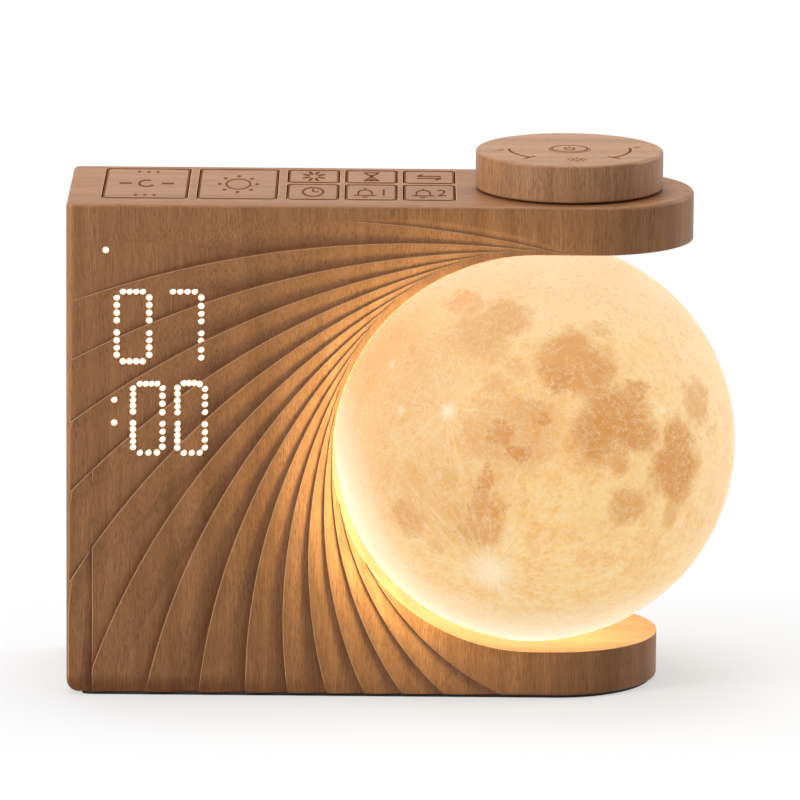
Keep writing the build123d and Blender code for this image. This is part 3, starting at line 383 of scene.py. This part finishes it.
def makeMoulded(name, colour, roughness, grit):
    # moulded or pressed with a spark-eroded or fibrous face: dull, with an even grit in millimetres
    material, tree, shader = newMaterial(name, {"IOR": 1.53, "Roughness": roughness})
    coords = addNode(tree, "TexCoord").outputs["Object"]
    noise = addNode(tree, "TexNoise", {"Scale": 1 / (grit * mm), "Detail": 2.0}, {"Vector": coords})
    light = [c * moulded["lighter"] for c in hexColour(colour)[:3]] + [1.0]
    tone = addNode(tree, "Mix", {"data_type": "RGBA", 6: hexColour(colour), 7: light}, {0: noise.outputs[0]})
    tree.links.new(tone.outputs[2], shader.inputs["Base Color"])
    bump = addNode(tree, "Bump", {"Strength": moulded["bump"], "Distance": moulded["bumpDepth"] * mm}, {
        "Height": noise.outputs[0]})
    tree.links.new(bump.outputs[0], shader.inputs["Normal"])
    return material


def makeMetal(name, colour, roughness, lines):
    # plated or bare steel: bright, with faint drawn lines this many millimetres apart
    material, tree, shader = newMaterial(name, {
        "Metallic": 1.0, "Roughness": roughness, "Base Color": hexColour(colour)})
    coords = addNode(tree, "TexCoord").outputs["Object"]
    fine = 1 / lines / mm
    drawn = addNode(tree, "Mapping", {"Scale": (fine, fine / drawnMetal["drawOut"], fine)}, {
        "Vector": coords})
    noise = addNode(tree, "TexNoise", {"Scale": 1.0, "Detail": 3.0}, {"Vector": drawn.outputs[0]})
    rough = addNode(tree, "MapRange", {
        "To Min": roughness * drawnMetal["brighter"], "To Max": roughness * drawnMetal["duller"]}, {
        "Value": noise.outputs[0]})
    tree.links.new(rough.outputs[0], shader.inputs["Roughness"])
    return material


def makeLight(name, colour, strength):
    # lit from within, as a diode's clear epoxy or wood worn thin: one even colour all over
    return newMaterial(name, {
        "Base Color": hexColour(colour), "IOR": 1.5, "Roughness": 0.3,
        "Emission Color": hexColour(colour), "Emission Strength": strength})[0]


# dark brown ABS, spark-eroded: a satin face that hides fingermarks
paint(["rear_cover"], makeMoulded("abs_rear_cover", "2A211B", 0.55, 0.5))
# black rubber, which takes no shine
paint(["base_pad", "speaker_gasket"], makeMoulded("rubber_foot", "1C1A18", 0.85, 0.8))
# nylon, smooth and a little waxy
paint(["key_switches", "bearing_post", "button_switch", "hall_sensors", "board_chips", "cell_holder",
       "display_baffle"], makeMoulded("nylon_black", "151515", 0.5, 0.4))
# white polycarbonate, smooth enough for soft highlights
paint(["moon_socket", "lamp_diffuser", "display_spacers"],
      makeMoulded("polycarbonate_white", "DEDCD4", 0.4, 0.6))
# green solder mask: glossy, over tracks that show as faint patches
paint(["key_board", "encoder_board", "lamp_board", "display_board", "main_board"],
      makeMoulded("solder_mask_green", "1F5B36", 0.35, 1.2))
# zinc plate: cool grey and a little clouded
paint([n for n in nodes if n.endswith("_screws")], makeMetal("zinc_plated_steel", "A9AAAC", 0.32, 0.2))
# stamped spring steel: darker, with a drawn sheen
paint(["retaining_clip", "usb_socket", "coin_cell", "speaker_basket"],
      makeMetal("spring_steel", "9A9CA0", 0.25, 0.2))
# nickel plate: warm and nearly a mirror
paint(["magnet_ring", "speaker_magnet"], makeMetal("nickel_plate", "B8B4AC", 0.18, 0.3))
# pressed paper pulp: black and dead flat
paint(["speaker_cone"], makeMoulded("paper_cone", "232323", 0.9, 0.7))
# diodes that are on: a warm one for the globe and plain white for the time
paint(["lamp_leds"], makeLight("warm_diode", "FFD89A", 1.0))
whiteDiode = makeLight("white_diode", "FFFFFF", 1.0)
paint(["display_leds"], whiteDiode)
print("hidden pieces done")


def deselectAll():
    if bpy.context.object and bpy.context.object.mode != "OBJECT":
        bpy.ops.object.mode_set(mode="OBJECT")
    bpy.ops.object.select_all(action="DESELECT")


def editAll():
    bpy.ops.object.mode_set(mode="EDIT")
    bpy.ops.mesh.select_mode(type="FACE")
    bpy.ops.mesh.select_all(action="SELECT")


def disc(x, y, radius, sides=16, stretch=1.0):
    # a flat filled circle, or an oval when stretched along x
    deselectAll()
    bpy.ops.mesh.primitive_circle_add(vertices=sides, radius=radius, fill_type="NGON", location=(x, y, 0))
    bpy.ops.transform.resize(value=(stretch, 1, 1), center_override=(x, y, 0))
    return bpy.context.object


def ring(x, y, radius, line, sides=48):
    # a flat ring: a filled circle with its middle inset and removed
    piece = disc(x, y, radius, sides)
    editAll()
    bpy.ops.mesh.inset(thickness=line)
    bpy.ops.mesh.delete(type="FACE")
    bpy.ops.object.mode_set(mode="OBJECT")
    return piece


def keepSide(piece, x, y, angle):
    # cuts a flat piece along the line through x, y at this angle and keeps what lies to its left
    deselectAll()
    piece.select_set(True)
    bpy.context.view_layer.objects.active = piece
    editAll()
    a = radians(angle)
    bpy.ops.mesh.bisect(plane_co=(x, y, 0), plane_no=(-sin(a), cos(a), 0), clear_inner=True)
    bpy.ops.object.mode_set(mode="OBJECT")
    return piece


def arc(x, y, radius, line, start, end):
    # a stretch of a ring, from one angle to the other, less than half a turn
    return keepSide(keepSide(ring(x, y, radius, line, 96), x, y, start), x, y, end + 180)


def bar(x0, y0, x1, y1, line):
    # a straight stroke with rounded ends
    middle = Vector(((x0 + x1) / 2, (y0 + y1) / 2, 0))
    way = Vector((x1 - x0, y1 - y0, 0))
    deselectAll()
    bpy.ops.mesh.primitive_plane_add(size=1, location=middle)
    bpy.ops.transform.resize(value=(way.length, line, 1), center_override=middle)
    piece = bpy.context.object
    bpy.ops.object.transform_apply(location=False, rotation=False, scale=True)
    editAll()
    bpy.ops.mesh.bevel(offset=line * 0.45, segments=3, affect="VERTICES")
    bpy.ops.object.mode_set(mode="OBJECT")
    piece.rotation_euler = (0, 0, way.to_2d().angle_signed(Vector((1, 0))))
    return piece


def triangle(x, y, width, height, angle):
    # a flat triangle that points along angle: one of radius 1 is 1.732 wide and 1.5 high
    deselectAll()
    bpy.ops.mesh.primitive_circle_add(vertices=3, radius=1, fill_type="NGON", location=(0, 0, 0))
    piece = bpy.context.object
    piece.scale = (width / 1.732, height / 1.5, 1)
    piece.rotation_euler = (0, 0, radians(angle - 90))
    piece.location = (x, y, 0)
    return piece


def numeral(text, x, y, height):
    # a plain figure: the font's capitals are 1 / 1.42 of its size
    deselectAll()
    bpy.ops.object.text_add(location=(0, 0, 0))
    piece = bpy.context.object
    piece.data.body = text
    piece.data.align_x = "CENTER"
    piece.data.align_y = "CENTER"
    piece.data.size = height * 1.42
    piece.data.resolution_u = 3
    bpy.ops.object.convert(target="MESH")
    piece = bpy.context.object
    piece.location = (x, y, 0)
    return piece


def joined(pieces, name):
    # one mesh out of several, with every place and turn applied
    deselectAll()
    for piece in pieces:
        piece.select_set(True)
    bpy.context.view_layer.objects.active = pieces[0]
    bpy.ops.object.transform_apply(location=True, rotation=True, scale=True)
    if len(pieces) > 1:
        bpy.ops.object.join()
    pieces[0].name = name
    pieces[0].data.name = name
    return pieces[0]


# Signs burnt into the keys: drawn round in millimetres and drawn out towards the back
burnt = {
    "colour": "5E3413", "charSize": 1.5, "charPaler": 1.5, "height": 0.04, "gap": 0.005,
    "drawOut": 2.3, "smallSize": 1.12,
    # the line round a key: its width at the sides and at the front and back, its corners, and its inset,
    # which keeps off the hidden rim under each key
    "lineAcross": 0.5, "lineAlong": 1.2, "corner": 1.7, "inset": 0.84,
}


def makeBurnt():
    # laser-burnt beech: dull dark brown with a slightly uneven char
    material, tree, shader = newMaterial("beech_burnt", {
        "IOR": 1.5, "Roughness": 0.9, "Specular IOR Level": 0.1})
    coords = addNode(tree, "TexCoord").outputs["Object"]
    noise = addNode(tree, "TexNoise", {"Scale": 1 / (burnt["charSize"] * mm), "Detail": 3.0}, {
        "Vector": coords})
    dark = hexColour(burnt["colour"])
    pale = [c * burnt["charPaler"] for c in dark[:3]] + [1.0]
    tone = addNode(tree, "Mix", {"data_type": "RGBA", 6: dark, 7: pale}, {0: noise.outputs[0]})
    tree.links.new(tone.outputs[2], shader.inputs["Base Color"])
    return material


burntBeech = makeBurnt()


def burnOnto(name, pieces, x, y, top, body, drawOut=1.0, size=1.0):
    # lays flat strokes on a face: drawn out, moved to their place, given a hair's thickness
    mark = joined(pieces, name)
    bpy.ops.transform.resize(value=(mm * size, mm * size * drawOut, mm), center_override=(0, 0, 0))
    bpy.ops.object.transform_apply(location=True, rotation=True, scale=True)
    editAll()
    bpy.ops.mesh.extrude_region_move(TRANSFORM_OT_translate={"value": (0, 0, burnt["height"] * mm)})
    bpy.ops.mesh.select_all(action="SELECT")
    bpy.ops.mesh.normals_make_consistent(inside=False)
    bpy.ops.object.mode_set(mode="OBJECT")
    mark.location = (x, y, top + burnt["gap"] * mm)
    bpy.ops.object.transform_apply(location=True, rotation=True, scale=True)
    mark.data.materials.clear()
    mark.data.materials.append(burntBeech)
    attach(mark, body)
    return mark


def atAngle(angle, reach):
    # x and y at this angle in degrees and this far out
    return reach * cos(radians(angle)), reach * sin(radians(angle))


def petal(angle, reach, radius, stretch):
    # an oval that points outwards
    piece = disc(0, 0, radius, 12, stretch)
    piece.rotation_euler = (0, 0, radians(angle))
    piece.location = (*atAngle(angle, reach), 0)
    return piece


def dome(x, y, radius, line):
    return keepSide(ring(x, y, radius, line), x, y, 0)


def drawAll(shapes):
    return [shape(*measures) for shape, *measures in shapes]


def keyFrame(width, depth):
    # the dark line round a key: a rounded rectangle inset by more at the front and back
    deselectAll()
    bpy.ops.mesh.primitive_plane_add(size=1, location=(0, 0, 0))
    bpy.ops.transform.resize(value=(width, depth, 1))
    bpy.ops.object.transform_apply(location=False, rotation=False, scale=True)
    piece = bpy.context.object
    editAll()
    bpy.ops.mesh.bevel(offset=burnt["corner"], segments=6, affect="VERTICES")
    bpy.ops.mesh.select_all(action="SELECT")
    bpy.ops.mesh.inset(thickness=burnt["lineAcross"])
    inner = depth - 2 * burnt["lineAcross"]
    squeeze = (depth - 2 * burnt["lineAlong"]) / inner
    bpy.ops.transform.resize(value=(1, squeeze, 1), center_override=(0, 0, 0))
    bpy.ops.mesh.delete(type="FACE")
    bpy.ops.object.mode_set(mode="OBJECT")
    return piece


# What each sign is made of: a shape, then its place and measures in millimetres and degrees
signs = {
    # a crescent between two strokes, and three dots before and behind
    "snooze": [
        (arc, 0, 0, 2.6, 0.75, 60, 200), (arc, 0, 0, 2.6, 0.75, 200, 330),
        (bar, -8.2, 0, -4.4, 0, 1.0), (bar, 4.4, 0, 8.2, 0, 1.0),
        *[(disc, x, y, 0.5) for x in (-2.75, 0, 2.75) for y in (-8.2, 8.2)]],
    # a sun with dots for its rays
    "light": [(ring, 0, 0, 3.85, 0.55), *[(disc, *atAngle(45 * i, 5.6), 0.62) for i in range(8)]],
    # a burst of petals
    "sound": [(petal, 45 * i + 22.5, 2.15, 0.45, 2.6) for i in range(8)],
    # an hourglass with its sand
    "timer": [
        (bar, -2.2, 2.5, 2.2, 2.5, 0.5), (bar, -2.2, -2.5, 2.2, -2.5, 0.5),
        (bar, -1.8, 2.4, 1.8, -2.4, 0.5), (bar, 1.8, 2.4, -1.8, -2.4, 0.5),
        (triangle, 0, 1.0, 1.5, 0.8, 270), (triangle, 0, -1.8, 2.2, 1.0, 90)],
    # two half arrows, one each way
    "swap": [
        (bar, -3.2, 0.5, 3.2, 0.5, 0.55), (bar, -3.2, -0.7, 3.2, -0.7, 0.55),
        (bar, -3.2, 0.6, -1.6, 1.7, 0.6), (bar, 3.2, -0.8, 1.6, -1.9, 0.6)],
    # a clock with two hands
    "clock": [(ring, 0, 0, 3.0, 0.6), (bar, 0, 0, 0, 2.0, 0.5), (bar, 0, 0, 1.6, 0, 0.5)],
}
# a bell with its clapper, and its number beside it
bell = [
    (dome, -1.6, -0.2, 2.0, 0.5), (bar, -3.38, 0, -3.5, -1.6, 0.45), (bar, 0.18, 0, 0.3, -1.6, 0.45),
    (bar, -4.7, -1.9, 1.5, -1.9, 0.5), (bar, -1.6, 1.7, -1.6, 2.5, 0.5), (bar, -2.4, -2.9, -0.8, -2.9, 0.5),
]
for number in ("1", "2"):
    signs["alarm_" + number] = bell + [(numeral, number, 3.3, -0.3, 4.1)]
bodyOf = {name: name for name in signs}
bodyOf["clock"] = "clock_set"
for name, shapes in signs.items():
    low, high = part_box(name + "_key")
    width = (high.x - low.x) / mm - 2 * burnt["inset"]
    depth = (high.y - low.y) / mm - 2 * burnt["inset"]
    x, y = (low.x + high.x) / 2, (low.y + high.y) / 2
    burnOnto(name + "_outline", [keyFrame(width, depth)], x, y, high.z, bodyOf[name])
    size = 1.0 if name in ("snooze", "light") else burnt["smallSize"]
    burnOnto(name + "_symbol", drawAll(shapes), x, y, high.z, bodyOf[name], burnt["drawOut"], size)
print("key signs done")


# Marks on the dial: two arcs with short strokes at their ends and a small sun, and a ring and a sign on
# its button
dial = {
    "arcRadius": 18.5, "line": 0.8, "arcs": [(181, 229), (314, 369)],
    # each stroke: its angle, and where it starts and ends from the arcs' radius
    "strokes": [(229, -2.6, 2.6), (314, -2.6, 2.6), (186, 1.0, 3.2), (372, 1.0, 3.2)],
    "sunPlace": (1.9, -17.0), "sunRadius": 1.5, "sunRays": (2.0, 3.0), "sunLine": 0.45,
    "buttonSign": [
        (arc, 0, 0, 1.7, 0.5, 120, 270), (arc, 0, 0, 1.7, 0.5, 270, 420), (bar, 0, 0.6, 0, 2.2, 0.5)],
    "buttonDrawOut": 1.4, "buttonRing": (0, 0, 5.7, 0.6),
}


def dialMarks():
    r, line, sunLine = dial["arcRadius"], dial["line"], dial["sunLine"]
    marks = [(arc, 0, 0, r, line, start, end) for start, end in dial["arcs"]]
    for angle, inner, outer in dial["strokes"]:
        marks.append((bar, *atAngle(angle, r + inner), *atAngle(angle, r + outer), line))
    pieces = drawAll(marks)
    near, far = dial["sunRays"]
    sun = [(ring, 0, 0, dial["sunRadius"], sunLine)]
    sun += [(bar, *atAngle(45 * i, near), *atAngle(45 * i, far), sunLine) for i in range(8)]
    for piece in drawAll(sun):
        piece.location += Vector((*dial["sunPlace"], 0))
        pieces.append(piece)
    low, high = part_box("dial_knob")
    x, y = (low.x + high.x) / 2, (low.y + high.y) / 2
    burnOnto("dial_marks", pieces, x, y, high.z, "dial")
    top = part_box("knob_button")[1].z
    burnOnto("button_symbol", drawAll(dial["buttonSign"]), x, y, top, "dial_button", dial["buttonDrawOut"])
    burnOnto("button_outline", [ring(*dial["buttonRing"])], x, y, top, "dial_button")


dialMarks()
print("dial marks done")


# Dots of light that come through the thin wood: rows and columns in millimetres on the front
dots = {
    "radius": 0.70, "proud": 0.06, "thick": 0.1, "edge": 0.02,
    "haloRadius": 1.02, "haloProud": 0.03, "halo": "DDB995", "haloStrength": 0.8,
    "lookFrom": -100.0, "plainFront": -31.0,
}
digits = [
    {"left": -84.62, "right": -75.04, "top": 122.74, "bottom": 101.62, "row": (-82.8, -76.96, 4),
     "upper": (120.86, 113.97), "lower": (110.3, 103.57), "leftCount": 4, "rightCount": 4, "bottomCount": 4},
    {"right": -59.7, "top": 122.74, "row": (-68.09, -61.64, 4),
     "upper": (120.9, 113.9), "lower": (110.2, 103.0), "rightCount": 4},
    {"left": -79.8, "right": -71.1, "top": 95.0, "bottom": 74.0, "row": (-77.8, -72.7, 4),
     "upper": (93.6, 86.4), "lower": (82.9, 75.75), "leftCount": 5, "rightCount": 4, "bottomCount": 3},
    {"left": -66.66, "right": -58.57, "top": 95.05, "bottom": 74.15, "row": (-64.8, -60.1, 4),
     "upper": (93.6, 86.4), "lower": (82.9, 75.75), "leftCount": 5, "rightCount": 4, "bottomCount": 3},
]
singleDots = [(-87.84, 135.12), (-85.36, 90.11), (-85.36, 83.06)]


def dotRun(x0, z0, x1, z1, count):
    return [(x0 + (x1 - x0) * i / (count - 1), z0 + (z1 - z0) * i / (count - 1)) for i in range(count)]


def dotPlaces():
    places = list(singleDots)
    for digit in digits:
        x0, x1, count = digit["row"]
        places += dotRun(x0, digit["top"], x1, digit["top"], count)
        if "bottom" in digit:
            places += dotRun(x0, digit["bottom"], x1, digit["bottom"], digit["bottomCount"])
        for side in ("left", "right"):
            if side in digit:
                for z0, z1 in (digit["upper"], digit["lower"]):
                    places += dotRun(digit[side], z0, digit[side], z1, digit[side + "Count"])
    return places


def frontAt(x, z):
    # how far forward the carved front stands at this place, in metres, found by a ray from in front
    start = Vector((x, dots["lookFrom"], z)) * mm
    hit, place, _, _ = nodes["housing"].ray_cast(start, Vector((0, 1, 0)))
    return place.y if hit else dots["plainFront"] * mm


def makeDots(name, radius, proud, material):
    # one dot is modelled, copied to every place on the carved front, and joined
    deselectAll()
    bpy.ops.mesh.primitive_cylinder_add(
        vertices=16, radius=radius * mm, depth=dots["thick"] * mm,
        location=(0, 0, 0), rotation=(pi / 2, 0, 0))
    dot = bpy.context.object
    editAll()
    bpy.ops.mesh.bevel(offset=dots["edge"] * mm, segments=1, affect="EDGES")
    bpy.ops.object.mode_set(mode="OBJECT")
    pieces = []
    for x, z in dotPlaces():
        piece = dot.copy()
        piece.data = dot.data.copy()
        piece.location = (x * mm, frontAt(x, z) - proud * mm, z * mm)
        bpy.context.scene.collection.objects.link(piece)
        pieces.append(piece)
    bpy.data.objects.remove(dot)
    lit = joined(pieces, name)
    lit.data.materials.clear()
    lit.data.materials.append(material)
    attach(lit, "clock")


makeDots("lit_dots", dots["radius"], dots["proud"], whiteDiode)
# the thin wood round each dot glows a dull pinkish tan
litBeech = makeLight("beech_lit_through", dots["halo"], dots["haloStrength"])
makeDots("dot_halos", dots["haloRadius"], dots["haloProud"], litBeech)
print("dots done")


# Studio: white floor and surroundings, a soft lamp near the left, a weak one at the right, one above
studio = {
    "ambient": 0.45, "floorSize": 8.0, "floorGlow": 0.52, "floorTone": 0.33, "floorBounce": 0.32,
    # half the clock's width and depth in metres, and how far beyond it the floor runs out into white
    "footprint": (0.100, 0.031, 0.0), "floorFade": 0.09,
    "lampsAim": (0, 0, 0.08),
    "lamps": [
        # name, place in metres, size in metres, watts
        ("key", (-0.92, -0.58, 0.5), 0.4, 9.9),
        ("rim", (1.5, 0.6, 0.6), 0.8, 10.0),
        ("top", (-0.1, 0.3, 1.8), 1.2, 20.5),
    ],
    "ballWatts": 0.30, "ballRadius": 33.0, "ballColour": "FFE6BE", "paneColour": "F8ECB8",
    # small round lamps in an arc before and behind the globe, which shine on the carved wood beside it:
    # their radius, and how far from the globe's middle and how far out they stand, in millimetres
    "paneRadius": 20.0, "paneReach": 37.0, "paneOut": 39.0,
    # the angle round the globe and the watts of each
    "panes": [(114, 0.012), (134, 0.08), (156, 0.088), (180, 0.088), (204, 0.088), (222, 0.08)],
}


def seenDirectly(tree):
    # 1 for what the camera sees, also mirrored in metal or through something clear, and 0 for other light
    path = addNode(tree, "LightPath").outputs
    seen = addNode(tree, "Math", {"operation": "MAXIMUM"}, {
        0: path["Is Camera Ray"], 1: path["Is Glossy Ray"]})
    return addNode(tree, "Math", {"operation": "MAXIMUM"}, {
        0: seen.outputs[0], 1: path["Is Transmission Ray"]}).outputs[0]


def makeFloor():
    deselectAll()
    bpy.ops.mesh.primitive_plane_add(size=studio["floorSize"], location=(0, 0, 0))
    floor = bpy.context.object
    floor.name = "floor"
    material = bpy.data.materials.new("white_floor")
    material.use_nodes = True
    tree = material.node_tree
    tree.nodes.clear()
    tone = [studio["floorTone"]] * 3 + [1.0]
    shade = addNode(tree, "BsdfDiffuse", {"Color": tone})
    glow = addNode(tree, "Emission", {"Strength": studio["floorGlow"]})
    lit = addNode(tree, "AddShader", links={0: shade.outputs[0], 1: glow.outputs[0]})
    # away from the clock the floor runs out into plain white
    coords = addNode(tree, "TexCoord").outputs["Object"]
    folded = addNode(tree, "VectorMath", {"operation": "ABSOLUTE"}, {0: coords})
    outside = addNode(tree, "VectorMath", {"operation": "SUBTRACT", 1: studio["footprint"]}, {
        0: folded.outputs[0]})
    beyond = addNode(tree, "VectorMath", {"operation": "MAXIMUM", 1: (0, 0, 0)}, {0: outside.outputs[0]})
    away = addNode(tree, "VectorMath", {"operation": "LENGTH"}, {0: beyond.outputs[0]})
    fade = addNode(tree, "MapRange", {"From Max": studio["floorFade"]}, {"Value": away.outputs["Value"]})
    white = addNode(tree, "Emission", {"Strength": 1.0})
    shown = addNode(tree, "MixShader", links={0: fade.outputs[0], 1: lit.outputs[0], 2: white.outputs[0]})
    # other light meets a plain floor
    plain = addNode(tree, "BsdfDiffuse", {"Color": [studio["floorBounce"]] * 3 + [1.0]})
    either = addNode(tree, "MixShader", links={
        0: seenDirectly(tree), 1: plain.outputs[0], 2: shown.outputs[0]})
    addNode(tree, "OutputMaterial", links={0: either.outputs[0]})
    floor.data.materials.append(material)


def makeWorld():
    world = bpy.data.worlds.new("studio")
    bpy.context.scene.world = world
    world.use_nodes = True
    tree = world.node_tree
    tree.nodes.clear()
    strength = addNode(tree, "MapRange", {"To Min": studio["ambient"], "To Max": 1.0}, {
        "Value": seenDirectly(tree)})
    light = addNode(tree, "Background", {"Color": (1, 1, 1, 1)}, {"Strength": strength.outputs[0]})
    addNode(tree, "OutputWorld", links={0: light.outputs[0]})


def makeLamps():
    aim = Vector(studio["lampsAim"])
    for name, place, size, watts in studio["lamps"]:
        data = bpy.data.lights.new(name, "AREA")
        data.shape = "DISK"
        data.size = size
        data.energy = watts
        lamp = bpy.data.objects.new(name, data)
        lamp.location = place
        lamp.rotation_euler = (aim - Vector(place)).to_track_quat("-Z", "Y").to_euler()
        bpy.context.scene.collection.objects.link(lamp)


def makeGlow():
    # the globe's own light on the wood: round lamps that shine through its wall and don't light it
    insides = ["moon_shell", "moon_socket", "lamp_board", "lamp_leds", "lamp_diffuser", "socket_screws"]

    def allBut(name, left, more=()):
        # a group for light linking that leaves these objects out
        group = bpy.data.collections.new(name)
        for each in [nodes[n] for n in left] + list(more):
            group.objects.link(each)
        for entry in group.collection_objects:
            entry.light_linking.link_state = "EXCLUDE"
        return group

    blockers = allBut("globe_light_blockers", insides)
    receivers = allBut("globe_light_receivers", ["moon_shell"], [bpy.data.objects["floor"]])
    centre = Vector(moon["centre"])

    def shine(name, data, watts, colour, place, turn=0.0):
        data.energy = watts
        data.color = hexColour(studio[colour])[:3]
        lamp = bpy.data.objects.new(name, data)
        lamp.location = place * mm
        lamp.rotation_euler = (turn, 0, 0)
        lamp.visible_camera = False
        lamp.visible_glossy = False
        bpy.context.scene.collection.objects.link(lamp)
        lamp.light_linking.blocker_collection = blockers
        lamp.light_linking.receiver_collection = receivers

    ball = bpy.data.lights.new("globe_light", "POINT")
    ball.shadow_soft_size = studio["ballRadius"] * mm
    ball.use_soft_falloff = False
    shine("globe_light", ball, studio["ballWatts"], "ballColour", centre)
    for name, way in (("front_pane", 1), ("rear_pane", -1)):
        for angle, watts in studio["panes"]:
            pane = bpy.data.lights.new(name, "AREA")
            pane.shape = "DISK"
            pane.size = 2 * studio["paneRadius"] * mm
            a = radians(angle)
            across, up = studio["paneReach"] * cos(a), studio["paneReach"] * sin(a)
            offset = Vector((across, -way * studio["paneOut"], up))
            shine(name, pane, watts, "paneColour", centre + offset, way * pi / 2)


makeFloor()
makeWorld()
makeLamps()
makeGlow()
bpy.context.scene.view_settings.view_transform = "Standard"
print("studio done")
